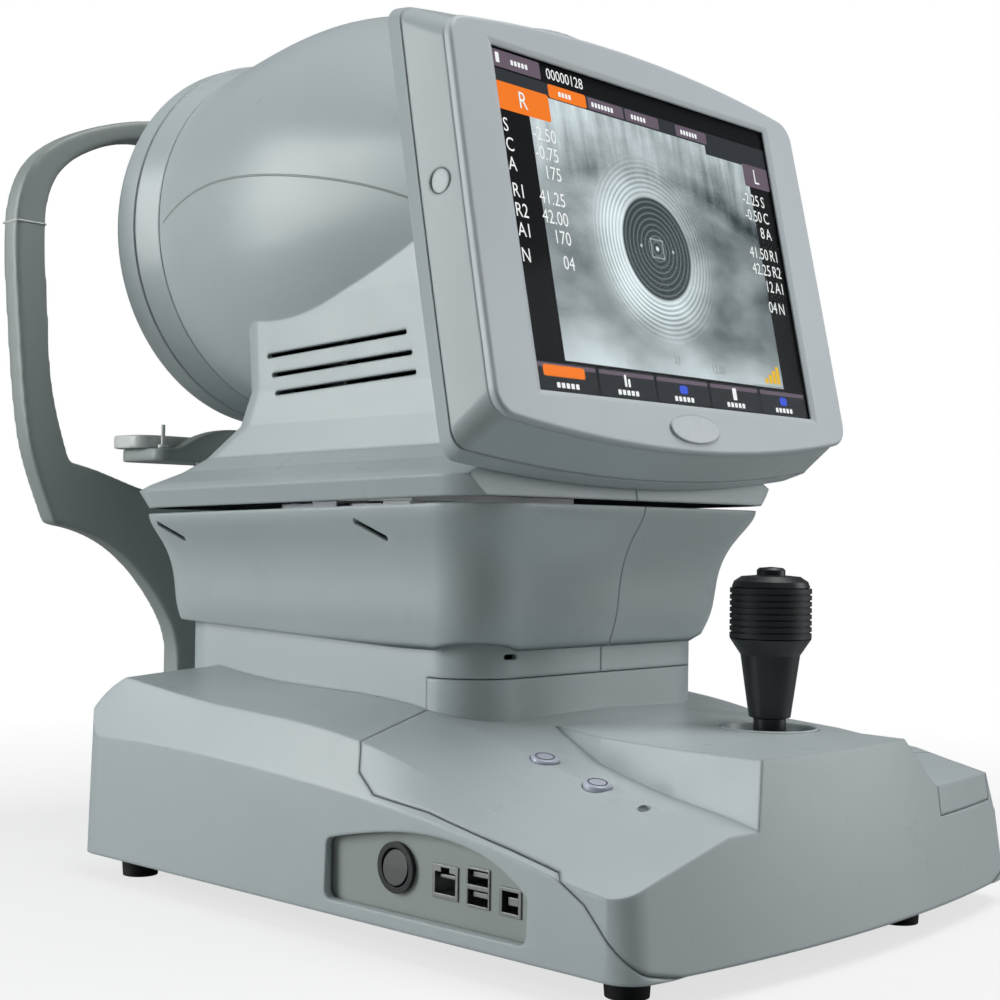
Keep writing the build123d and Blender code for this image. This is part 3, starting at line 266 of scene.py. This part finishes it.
# ---------------------------------------------------------------- soft moulded edges
def soften(name, voxel, rounds):
    """Rounds a casing's edges: an even remesh of the CAD node, then smoothing."""
    node = NODES[name]
    even = node.modifiers.new("even", "REMESH")
    even.mode = "VOXEL"
    even.voxel_size = voxel * MM
    even.use_smooth_shade = True
    smooth = node.modifiers.new("soft", "SMOOTH")
    smooth.factor = 0.5
    smooth.iterations = rounds


for name, voxel, rounds in (("face_frame", 1.6, 16), ("chinrest_arm", 1.2, 6), ("chinrest_cup", 1.0, 8)):
    soften(name, voxel, rounds)


# ---------------------------------------------------------------- mesh helpers
BODIES = {name: node["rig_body"] for name, node in NODES.items()}


def piece(name, points, faces, material, body, slot, smooth=True):
    """New mesh piece from points in millimetres, riding on a body."""
    mesh = bpy.data.meshes.new(name)
    mesh.from_pydata([tuple(c * MM for c in p) for p in points], [], faces)
    mesh.update()
    mesh.polygons.foreach_set("use_smooth", [smooth] * len(mesh.polygons))
    mesh.materials.append(material)
    made = bpy.data.objects.new(name, mesh)
    bpy.context.scene.collection.objects.link(made)
    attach(made, body)
    return made


def rounded_rectangle(u0, v0, u1, v1, radius, steps=4):
    """Corner-rounded outline, anticlockwise, as u, v pairs."""
    outline = []
    for u, v, start in ((u1, v0, -90), (u1, v1, 0), (u0, v1, 90), (u0, v0, 180)):
        cu = u - radius if u == u1 else u + radius
        cv = v - radius if v == v1 else v + radius
        for k in range(steps + 1):
            angle = radians(start + 90 * k / steps)
            outline.append((cu + radius * cos(angle), cv + radius * sin(angle)))
    return outline


def joined(parts):
    """One list of points and one of faces from several (points, faces) pairs."""
    points, faces = [], []
    for more_points, more_faces in parts:
        base = len(points)
        points.extend(more_points)
        faces.extend([tuple(base + i for i in face) for face in more_faces])
    return points, faces


def moulded_piece(name, skin, node, slot):
    """Smooth piece made of a (points, faces) pair, in a slot's material, on a CAD node's body."""
    return piece(name, *skin, MATERIALS[slot], BODIES[node], slot)


def skin_of(node):
    """The surface of a CAD node, for finding points on it with rays."""
    mesh = NODES[node].data
    return BVHTree.FromPolygons([v.co for v in mesh.vertices], [tuple(f.vertices) for f in mesh.polygons])


def tube(sections, closed_ends=True):
    """Skin over a row of rings of equal size, capped at both ends or left open."""
    count, size = len(sections), len(sections[0])
    points = [p for ring in sections for p in ring]
    faces = []
    for i in range(count - 1):
        for j in range(size):
            k = (j + 1) % size
            faces.append((i * size + j, i * size + k, (i + 1) * size + k, (i + 1) * size + j))
    if closed_ends:
        faces.append(tuple(reversed(range(size))))
        faces.append(tuple((count - 1) * size + j for j in range(size)))
    return points, faces


# ---------------------------------------------------------------- forehead pad
PAD_HALF_WIDE, PAD_HALF_HIGH = 58.0, 14.2
PAD_BACK, PAD_MIDDLE = 222.2, 417.0
PAD_THIN, PAD_THICKER_ENDS, PAD_HOLLOW = 7.2, 5.6, 52.0
PAD_GROOVES, GROOVE_DEEP, GROOVE_WIDE = (-8.4, -2.8, 2.8, 8.4), 0.9, 0.75
PAD_SEAM, SEAM_HALF, SEAM_PROUD = 2.0, 0.8, 1.02
PAD_SLICES, PAD_AROUND = 120, 72


def signed_power(value, power):
    return abs(value) ** power * (1 if value >= 0 else -1)


def pad_skin():
    """Moulded pad: hollow towards the forehead, crowned in section, with grooves and a parting seam."""
    rings = []
    for i in range(PAD_SLICES + 1):
        x = -PAD_HALF_WIDE + 2 * PAD_HALF_WIDE * i / PAD_SLICES
        end = max(max(1 - abs(x / PAD_HALF_WIDE) ** 9, 0.0) ** 0.5, 0.05)
        depth = (PAD_THIN + PAD_THICKER_ENDS * min(1, abs(x) / PAD_HOLLOW) ** 2) * (0.35 + 0.65 * end)
        ring = []
        for j in range(PAD_AROUND):
            angle = 2 * pi * j / PAD_AROUND
            y = PAD_BACK + depth / 2 + depth / 2 * signed_power(cos(angle), 0.62)
            rise = PAD_HALF_HIGH * end * signed_power(sin(angle), 0.55)
            if cos(angle) > 0.2:
                for groove in PAD_GROOVES:
                    y -= GROOVE_DEEP * end * exp(-((rise - groove) / GROOVE_WIDE) ** 2)
            if abs(y - PAD_BACK - PAD_SEAM) < SEAM_HALF:
                rise *= SEAM_PROUD
            ring.append((x, y, PAD_MIDDLE + rise))
        rings.append(ring)
    return tube(rings)


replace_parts(moulded_piece("forehead_cushion", pad_skin(), "forehead_pad", "pad_rubber"), "forehead_pad")


# ---------------------------------------------------------------- eye-level marks on the posts
EYE_LEVEL = 353.0
POST_NEAR, POST_FAR = 206.0, 222.0
OUTSIDE = 400.0  # millimetres from the middle plane, clear of the whole object


def eye_level_mark(side, high=0.9, proud=0.35, sunk=1.0, radius=1.6):
    """Thin pale band round one post of the face frame at the height of the patient's eye."""
    skin = skin_of("face_frame")
    middle = (POST_NEAR + POST_FAR) / 2
    outer = skin.ray_cast(Vector((side * OUTSIDE, middle, EYE_LEVEL)) * MM, Vector((-side, 0, 0)))[0].x / MM
    inner = skin.ray_cast(Vector((0, middle, EYE_LEVEL)) * MM, Vector((side, 0, 0)))[0].x / MM
    x0, x1 = min(outer, inner), max(outer, inner)
    rings = []
    for grow, level in ((-sunk, -high / 2), (proud, -high / 2), (proud, high / 2), (-sunk, high / 2)):
        outline = rounded_rectangle(x0 - grow, POST_NEAR - grow, x1 + grow, POST_FAR + grow, radius)
        rings.append([(x, y, EYE_LEVEL + level) for x, y in outline])
    return tube(rings)


for name, side in (("eye_mark_left", -1), ("eye_mark_right", 1)):
    moulded_piece(name, eye_level_mark(side), "face_frame", "chin_plastic")


# ---------------------------------------------------------------- dark strip of painted shade along the crease of the drum
LINE_POINTS = ((136, 350), (125, 355), (108, 360), (92, 362.5), (60, 363), (14, 357.5), (-31, 348),
               (-65, 336))  # y, z from the front ring back to the monitor


def crease_shade_strip(node, side, width=1.3, proud=0.06, sunk=0.5, steps=110):
    """Slim dark strip of painted shade along the crease, following the casing from the front ring to the
    monitor, found on the CAD skin.
    """
    skin = skin_of(node)
    ys, zs = zip(*LINE_POINTS)
    curve = np.poly1d(np.polyfit(ys, zs, 4))
    rings = []
    for y in np.linspace(ys[0], ys[-1], steps):
        top, bottom = curve(y) + width / 2, curve(y) - width / 2
        upper, lower = (skin.ray_cast(Vector((side * OUTSIDE, y, z)) * MM, Vector((-side, 0, 0)))[0]
                        for z in (top, bottom))
        if upper is None or lower is None:
            continue
        high, low = upper.x / MM, lower.x / MM
        ring = [(high + side * proud, y, top), (low + side * proud, y, bottom),
                (low - side * sunk, y, bottom), (high - side * sunk, y, top)]
        rings.append(ring if side < 0 else ring[::-1])
    return tube(rings)


# On each side, a dark strip paints the shade of the casing's crease.
for node, side in (("head_cover_left", -1), ("head_cover_right", 1)):
    moulded_piece(node + "_line", crease_shade_strip(node, side), node, "frame_plastic")


# ---------------------------------------------------------------- rims of the deck's buttons
DECK_NORMAL = Vector((-0.1, -0.21, 1)).normalized()


def rim_on(node, radius=4.1, thick=0.35, lift=3.8, steps=72, around=10):
    """Thin round rim that lies on a CAD button, square to the way the button faces."""
    low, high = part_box(node)
    middle = (low + high) / 2 / MM
    normal = DECK_NORMAL
    side = Vector((1, 0, 0.1)).normalized()
    side = (side - normal * side.dot(normal)).normalized()
    front = normal.cross(side)
    rings = []
    for i in range(steps + 1):
        a = 2 * pi * i / steps
        out = side * cos(a) + front * sin(a)
        ring = []
        for j in range(around):
            b = 2 * pi * j / around
            ring.append(middle + out * (radius + thick * cos(b)) + normal * (lift + thick * sin(b)))
        rings.append(ring)
    return tube(rings, closed_ends=False)


for node in ("chin_button_up", "chin_button_down"):
    moulded_piece(node + "_rim", rim_on(node), node, "black_plastic")


# ---------------------------------------------------------------- mire rings in the measuring bowl
def circle_through(a, b, c):
    """Centre and radius of the circle through three points."""
    (ax, ay), (bx, by), (cx, cy) = a, b, c
    d = 2 * (ax * (by - cy) + bx * (cy - ay) + cx * (ay - by))
    aa, bb, cc = ax * ax + ay * ay, bx * bx + by * by, cx * cx + cy * cy
    x = (aa * (by - cy) + bb * (cy - ay) + cc * (ay - by)) / d
    y = (aa * (cx - bx) + bb * (ax - cx) + cc * (bx - ax)) / d
    return (x, y), ((ax - x) ** 2 + (ay - y) ** 2) ** 0.5


DRUM_AXIS_Z = 353.0
BOWL = ((174, 84), (148, 62), (134, 23))  # y and radius at the rim, halfway in and at the centre hole


def mire_rings(count=11, share=0.17, sunk=0.15, proud=0.7, steps=144):
    """Slim pale rings that stand a little proud of the bowl."""
    (cy, cr), radius = circle_through(*BOWL)
    first, last = (np.arctan2(r - cr, y - cy) for y, r in (BOWL[0], BOWL[2]))
    turn = (first - last + pi) % (2 * pi) - pi
    half = abs(turn) / count * share
    parts = []
    for k in range(count):
        at = last + turn * (k + 0.5) / count
        outline = [(at - half, sunk), (at - half * 0.6, -proud), (at + half * 0.6, -proud), (at + half, sunk)]
        section = [(cy + (radius + lift) * cos(a), cr + (radius + lift) * sin(a)) for a, lift in outline]
        rings = []
        for j in range(steps + 1):
            phi = 2 * pi * j / steps
            rings.append([(r * cos(phi), y, DRUM_AXIS_Z + r * sin(phi)) for y, r in section])
        parts.append(tube(rings, closed_ends=False))
    return joined(parts)


moulded_piece("mire_rings", mire_rings(), "placido_dish", "chin_plastic")


# ---------------------------------------------------------------- display
SCREEN_TILT = radians(11.8)
SCREEN_UP = Vector((0, sin(SCREEN_TILT), cos(SCREEN_TILT)))
SCREEN_OUT = Vector((0, -cos(SCREEN_TILT), sin(SCREEN_TILT)))
GLASS_THICKNESS = 1.2
glass_low, glass_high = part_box("touch_glass")
SCREEN_MIDDLE = (glass_low + glass_high) / 2 / MM - SCREEN_OUT * GLASS_THICKNESS / 2
HALF_WIDE, HALF_HIGH = 106.5, 80.0
PANEL_THICKNESS = 0.06


def on_screen(u, v, w):
    """Point u to the right of, v above and w in front of the middle of the display."""
    return SCREEN_MIDDLE + Vector((u, 0, 0)) + SCREEN_UP * v + SCREEN_OUT * w


def slab(outline, low, high):
    """Thin flat solid on the display plane."""
    count = len(outline)
    points = [on_screen(u, v, low) for u, v in outline] + [on_screen(u, v, high) for u, v in outline]
    faces = [tuple(range(count, 2 * count)), tuple(reversed(range(count)))]
    faces += [(i, (i + 1) % count, count + (i + 1) % count, count + i) for i in range(count)]
    return points, faces


def display_piece(name, points, faces, material):
    piece(name, points, faces, material, BODIES["touch_glass"], "display", smooth=False)


def panels(name, boxes, colour, level, radius):
    """Lit rectangles of one colour on the display, each u0, v0, u1, v1."""
    parts = []
    for box in boxes:
        outline = rounded_rectangle(*box, min(radius, (box[3] - box[1]) / 2.01))
        parts.append(slab(outline, level, level + PANEL_THICKNESS))
    display_piece(name, *joined(parts), UI[colour])


SIZE_FOR_HEIGHT, NARROW = 1.42, 0.86  # of Blender's built-in font


def lettering(name, lines, colour, level, grow=0.0):
    """Generic digits and letters on the display: text, u of the aligned edge, base v, height, alignment."""
    parts = []
    for text, u, v, height, align in lines:
        curve = bpy.data.curves.new(name, "FONT")
        curve.body = text
        curve.size = height * SIZE_FOR_HEIGHT
        curve.align_x = align
        curve.offset = grow
        curve.extrude = 0.02
        curve.resolution_u = 3
        carrier = bpy.data.objects.new(name, curve)
        bpy.context.scene.collection.objects.link(carrier)
        flat = bpy.data.meshes.new_from_object(carrier.evaluated_get(bpy.context.evaluated_depsgraph_get()))
        points = [on_screen(u + p.co.x * NARROW, v + p.co.y, level + p.co.z) for p in flat.vertices]
        parts.append((points, [tuple(f.vertices) for f in flat.polygons]))
        bpy.data.meshes.remove(flat)
        bpy.data.objects.remove(carrier)
        bpy.data.curves.remove(curve)
    display_piece(name, *joined(parts), UI[colour])


# The eye picture, in millimetres on the display.
EYE_LEFT, EYE_DOWN = 3.0, 1.0
PUPIL_EDGE = (25.6, 26.6)
RING_PITCH, PUPIL_RING_PITCH = 2.45, 2.9
TARGET_HALF, TARGET_LINE, DOT_REACH = 4.6, 0.35, 12.5


def eye_picture():
    """Camera picture of an eye under ring light: lids, lashes, bright ring reflections, dark pupil."""
    material, t = new_material("eye_picture")
    where = t.add("TexCoord").outputs["Object"]
    spot = t.add("VectorMath", {0: where, 1: tuple(SCREEN_MIDDLE * MM)}, operation="SUBTRACT").outputs[0]
    up = t.add("VectorMath", {0: spot, 1: tuple(SCREEN_UP)}, operation="DOT_PRODUCT").outputs["Value"]
    u = t.product(t.add("SeparateXYZ", {0: spot}).outputs[0], 1 / MM)
    v = t.product(up, 1 / MM)
    du, dv = t.total(u, EYE_LEFT), t.total(v, EYE_DOWN)
    r = t.length(du, dv)
    flat = t.add("CombineXYZ", {0: u, 1: v}).outputs[0]
    cloud = t.noise(t.add("Mapping", {"Vector": flat, "Scale": (0.02, 0.035, 1)}).outputs[0], 1.0, 5.0)
    lashes = t.noise(t.add("Mapping", {"Vector": flat, "Scale": (0.16, 0.02, 1)}).outputs[0], 1.0, 4.0)
    grain = t.noise(flat, 0.9, 2.0)
    tone = t.remap(cloud, 0.05, 0.42, 0.3, 0.7)

    # Brighter upper lid with the lashes' streaks, then the fold under it.
    lid = t.remap(t.total(v, t.product(u, u, 0.0024)), 0, 1, 26, 62)
    streak = t.remap(lashes, -0.26, 0.14, 0.3, 0.7)
    tone = t.total(tone, t.product(lid, t.total(streak, 0.42)))
    fold_height = t.total(t.product(u, u, -0.0026), 38.0)
    fold = t.math("ABSOLUTE", t.math("SUBTRACT", v, fold_height))
    tone = t.math("SUBTRACT", tone, t.remap(fold, 0.16, 0.0, 0, 9))

    # Lit cheek below, and the light falling off to the right.
    tone = t.total(tone, t.remap(v, 0.42, 0.0, -64, -40), t.remap(u, 0.12, -0.1, -80, 80))

    # Ring light mirrored on the cornea, strongest at its lower left.
    wave = t.math("SINE", t.product(r, 2 * pi / RING_PITCH))
    rings = t.product(t.remap(wave, -0.14, 0.5, -1, 1), t.remap(r, 0, 1, 24, 30), t.remap(r, 1, 0, 36, 49))
    side = t.remap(t.total(t.product(du, -0.012), t.product(dv, -0.008)), 0.25, 1.0, -0.5, 0.5)
    halo = t.product(t.remap(r, 0.55, 0.0, 27, 54), side)
    tone = t.total(tone, halo, t.product(rings, side), t.remap(grain, -0.05, 0.05, 0.2, 0.8))

    # Pupil with faint rings, a square target, a dot on each side and one in the middle.
    inner_wave = t.math("SINE", t.product(r, 2 * pi / PUPIL_RING_PITCH))
    square = t.math("MAXIMUM", t.math("ABSOLUTE", du), t.math("ABSOLUTE", dv))
    outline = t.math("ABSOLUTE", t.math("SUBTRACT", square, TARGET_HALF))
    from_dots = t.length(t.math("SUBTRACT", t.math("ABSOLUTE", du), DOT_REACH), dv)
    pupil = t.total(0.03, t.remap(inner_wave, 0.0, 0.12, 0.1, 1),
                    t.remap(outline, TARGET_LINE, 0.0, 0.1, 0.7),
                    t.remap(from_dots, 0.7, 0.0, 0.3, 1.1), t.remap(r, 0.9, 0, 0.6, 1.6))

    inside = t.remap(r, 1, 0, *PUPIL_EDGE)
    tone = t.total(t.product(tone, t.math("SUBTRACT", 1.0, inside)), t.product(pupil, inside))
    lit(t, t.mix(t.remap(tone, 0, 1), (0.015, 0.03, 0.035, 1), (0.86, 0.97, 1.0, 1)), 0.95)
    return material


UI = {key: glowing("display_" + key, linear(*colour), strength) for key, colour, strength in (
    ("black", (2, 3, 4), 0.5), ("strip", (52, 56, 60), 0.8), ("button", (46, 50, 54), 0.8),
    ("orange", (255, 128, 30), 1.0), ("plum", (112, 98, 112), 0.9), ("white", (250, 252, 252), 1.0),
    ("grey", (150, 156, 160), 0.9), ("yellow", (240, 190, 20), 1.0), ("blue", (60, 90, 220), 1.0))}
LEFT_COLUMN, RIGHT_COLUMN = -85.0, 88.0  # inner edges of the two columns of readings
PICTURE_LOW, PICTURE_HIGH = -65.0, 64.0
SQUARE = 0.1  # corner radius of the panels that look square
BUTTONS = 5
BUTTON_WIDE = 2 * HALF_WIDE / BUTTONS
button_edges = [-HALF_WIDE + BUTTON_WIDE * k for k in range(BUTTONS)]

picture_corners = [(LEFT_COLUMN, PICTURE_LOW), (RIGHT_COLUMN, PICTURE_LOW),
                   (RIGHT_COLUMN, PICTURE_HIGH), (LEFT_COLUMN, PICTURE_HIGH)]
display_piece("eye_view", *slab(picture_corners, 0.02, 0.06), eye_picture())
panels("side_columns", [(-HALF_WIDE, PICTURE_LOW, LEFT_COLUMN, 51),
                        (RIGHT_COLUMN, PICTURE_LOW, HALF_WIDE, 47)], "black", 0.06, SQUARE)
panels("title_row", [(-HALF_WIDE, 70.4, HALF_WIDE, HALF_HIGH)], "black", 0.07, SQUARE)
panels("tab_row", [(-HALF_WIDE, 62.8, HALF_WIDE, 70.2), (LEFT_COLUMN + 137, 58, HALF_WIDE, 62.8)],
       "strip", 0.07, SQUARE)
panels("button_row_back", [(-HALF_WIDE, -HALF_HIGH, HALF_WIDE, -64.6)], "black", 0.08, SQUARE)
panels("button_row", [(e + 0.7, -79.2, e + BUTTON_WIDE - 0.7, -66) for e in button_edges],
       "button", 0.14, 1)
panels("button_shine", [(e + 1.2, -68.6, e + BUTTON_WIDE - 1.2, -66.6) for e in button_edges],
       "plum", 0.15, 1)
panels("orange_tabs", [(-HALF_WIDE, 50.5, -70, 64), (-69, 63.2, -42, 70), (-101, -72.6, -73, -67.4)],
       "orange", 0.2, 1.2)
panels("plum_tabs", [(84, 46.5, HALF_WIDE, 59), (-HALF_WIDE, 71, -73, 79.4), (-40.5, 63.6, -14, 69.6),
                     (-12.5, 63.6, 14, 69.6), (28, 63.6, 54, 69.6)], "plum", 0.2, 0.8)

# Rows of small blocks stand for the words on the buttons, the tabs and the title row.
words = []
for e in button_edges:
    middle = e + BUTTON_WIDE / 2
    words += [(middle - 8 + 3.2 * k, -77.6, middle - 5.8 + 3.2 * k, -75.2) for k in range(5)]
for left, level, count in ((-62, 66.4, 4), (-38, 66.4, 7), (-8, 66.4, 5), (32, 66.4, 6), (-93, 75, 5)):
    words += [(left + 2.4 * k, level - 1.3, left + 1.6 + 2.4 * k, level + 1.1) for k in range(count)]
panels("label_marks", words, "white", 0.27, 0.3)
panels("signal_bars", [(72 + 3.6 * k, -62.5, 74.8 + 3.6 * k, -60 + 2.3 * k) for k in range(4)],
       "yellow", 0.2, 0.2)
panels("signal_line", [(60, -64.2, 88, -63.8)], "grey", 0.21, SQUARE)
panels("blue_marks", [(-3.2, -73.8, 3.2, -69.6), (82, -73.8, 88.4, -69.4)], "blue", 0.27, 1.6)
panels("grey_marks", [(-45, -73.6, -43.4, -67.8), (-42.4, -73.6, -40.8, -69.6), (40.6, -73.8, 43.8, -67.6),
                      (-103, 73, -100.6, 78)], "white", 0.27, 0.6)

READINGS = (("S", "-2.50", "-2.25"), ("C", "-0.75", "-0.50"), ("A", "175", "8"), ("R1", "41.25", "41.50"),
            ("R2", "42.00", "42.25"), ("A1", "170", "12"), ("N", "04", "04"))
LEFT_TOP, RIGHT_TOP = 40, 36
ROW_DROP, RIGHT_ROW_SHARE = 9.2, 0.97
LEFT_HIGH, RIGHT_HIGH = 6.6, 6.2
lines = [("R", -91.5, 53.4, 8.2, "LEFT"), ("L", 92.5, 49, 8.2, "LEFT"), ("00000128", -69, 72.6, 5.4, "LEFT")]
for row, (label, left_value, right_value) in enumerate(READINGS):
    down = row * ROW_DROP + (3.2 if row > 2 else 0) + (2.6 if row > 5 else 0)
    left_base, right_base = LEFT_TOP - down, RIGHT_TOP - down * RIGHT_ROW_SHARE
    lines += [(label, -104.5, left_base, LEFT_HIGH, "LEFT"),
              (left_value, -68.5, left_base, LEFT_HIGH, "RIGHT"),
              (label, 95.5, right_base, RIGHT_HIGH, "LEFT"),
              (right_value, 94.2, right_base, RIGHT_HIGH, "RIGHT")]
lettering("readings_shadow", lines, "black", 0.3, grow=0.035)
lettering("readings", lines, "white", 0.36)
lettering("picture_values", [("12.00", 26, -61, 4.2, "LEFT"), ("33", -4, -59, 4.2, "LEFT")], "grey", 0.3)


# ---------------------------------------------------------------- studio
FLOOR_HALF = 9
FADE_NEAR, FADE_FAR = 0.3, 0.8  # metres from the object over which the floor turns white
WHITE = (1, 1, 1, 1)

mesh = bpy.data.meshes.new("floor")
mesh.from_pydata([(-FLOOR_HALF, -FLOOR_HALF, 0), (FLOOR_HALF, -FLOOR_HALF, 0),
                  (FLOOR_HALF, FLOOR_HALF, 0), (-FLOOR_HALF, FLOOR_HALF, 0)], [], [(0, 1, 2, 3)])
floor = bpy.data.objects.new("floor", mesh)
bpy.context.scene.collection.objects.link(floor)

# The camera sees a white sweep; other rays meet a darker floor, so that it doesn't fill the shadows.
backdrop, t = new_material("studio_floor")
spot = t.add("TexCoord").outputs["Object"]
reach = t.add("VectorMath", {0: spot}, operation="LENGTH").outputs["Value"]
seen = t.add("LightPath").outputs["Is Camera Ray"]
mottled = t.mix(t.remap(t.noise(spot, 40.0, 4.0), 0, 1), (0.80, 0.80, 0.80, 1), (0.84, 0.84, 0.84, 1))
mottled = t.mix(seen, (0.3, 0.31, 0.31, 1), mottled)
matt = t.add("BsdfPrincipled", {"Base Color": mottled, "Roughness": 0.6, "Specular IOR Level": 0.2})
white = t.add("Emission", {"Color": WHITE, "Strength": 1.0})
fade = t.product(seen, t.remap(reach, 0.72, 1, FADE_NEAR, FADE_FAR))
t.finish(t.add("MixShader", {0: fade, 1: matt.outputs[0], 2: white.outputs[0]}))
floor.data.materials.append(backdrop)

world = bpy.data.worlds.new("studio")
bpy.context.scene.world = world
t = Tree(world)
seen = t.add("LightPath").outputs["Is Camera Ray"]
up = t.add("SeparateXYZ", {0: t.add("TexCoord").outputs["Generated"]}).outputs[2]
ambient = t.mix(t.remap(up, 0, 1, -0.2, 0.9), (0.03, 0.034, 0.035, 1), (0.13, 0.14, 0.142, 1))
sky = t.add("Background", {"Color": t.mix(seen, ambient, WHITE), "Strength": 1.0})
t.finish(sky, "OutputWorld")


def softbox(name, place, target, size, power, colour=(1, 1, 1)):
    """Rectangular light, unseen by the camera, that faces a target."""
    light = bpy.data.lights.new(name, "AREA")
    light.shape = "RECTANGLE"
    light.size, light.size_y = size
    light.energy = power
    light.color = colour
    box = bpy.data.objects.new(name, light)
    box.location = place
    box.rotation_euler = (Vector(target) - Vector(place)).to_track_quat("-Z", "Y").to_euler()
    box.visible_camera = False
    bpy.context.scene.collection.objects.link(box)


softbox("left_box", (-1.5, 1.2, 0.7), (0, 0, 0.2), (1.0, 1.4), 27, (0.97, 1, 1))
softbox("top_box", (0.2, -0.5, 1.6), (0, 0, 0.1), (1.2, 1.0), 18)
softbox("front_box", (1.3, -1.3, 0.5), (0, 0, 0.25), (0.9, 1.2), 10, (0.97, 0.99, 1))


# ---------------------------------------------------------------- camera
CAMERA_PLACE = (-0.6372, -0.6240, 0.1804)
YAW, PITCH, ROLL = radians(46.722), radians(1.207), radians(0.803)
FOCAL_LENGTH, SENSOR_WIDTH = 59.52, 36  # millimetres

forward = Vector((sin(YAW) * cos(PITCH), cos(YAW) * cos(PITCH), sin(PITCH)))
right = forward.cross(Vector((0, 0, 1))).normalized()
upward = right.cross(forward)
across = right * cos(ROLL) + upward * sin(ROLL)
above = upward * cos(ROLL) - right * sin(ROLL)
lens = bpy.data.cameras.new("camera")
lens.lens = FOCAL_LENGTH
lens.sensor_width = SENSOR_WIDTH
lens.clip_start = 0.02
camera = bpy.data.objects.new("camera", lens)
bpy.context.scene.collection.objects.link(camera)
turn = Matrix((across, above, -forward)).transposed().to_4x4()
camera.matrix_world = Matrix.Translation(CAMERA_PLACE) @ turn
bpy.context.scene.camera = camera
bpy.context.scene.view_settings.view_transform = "Standard"
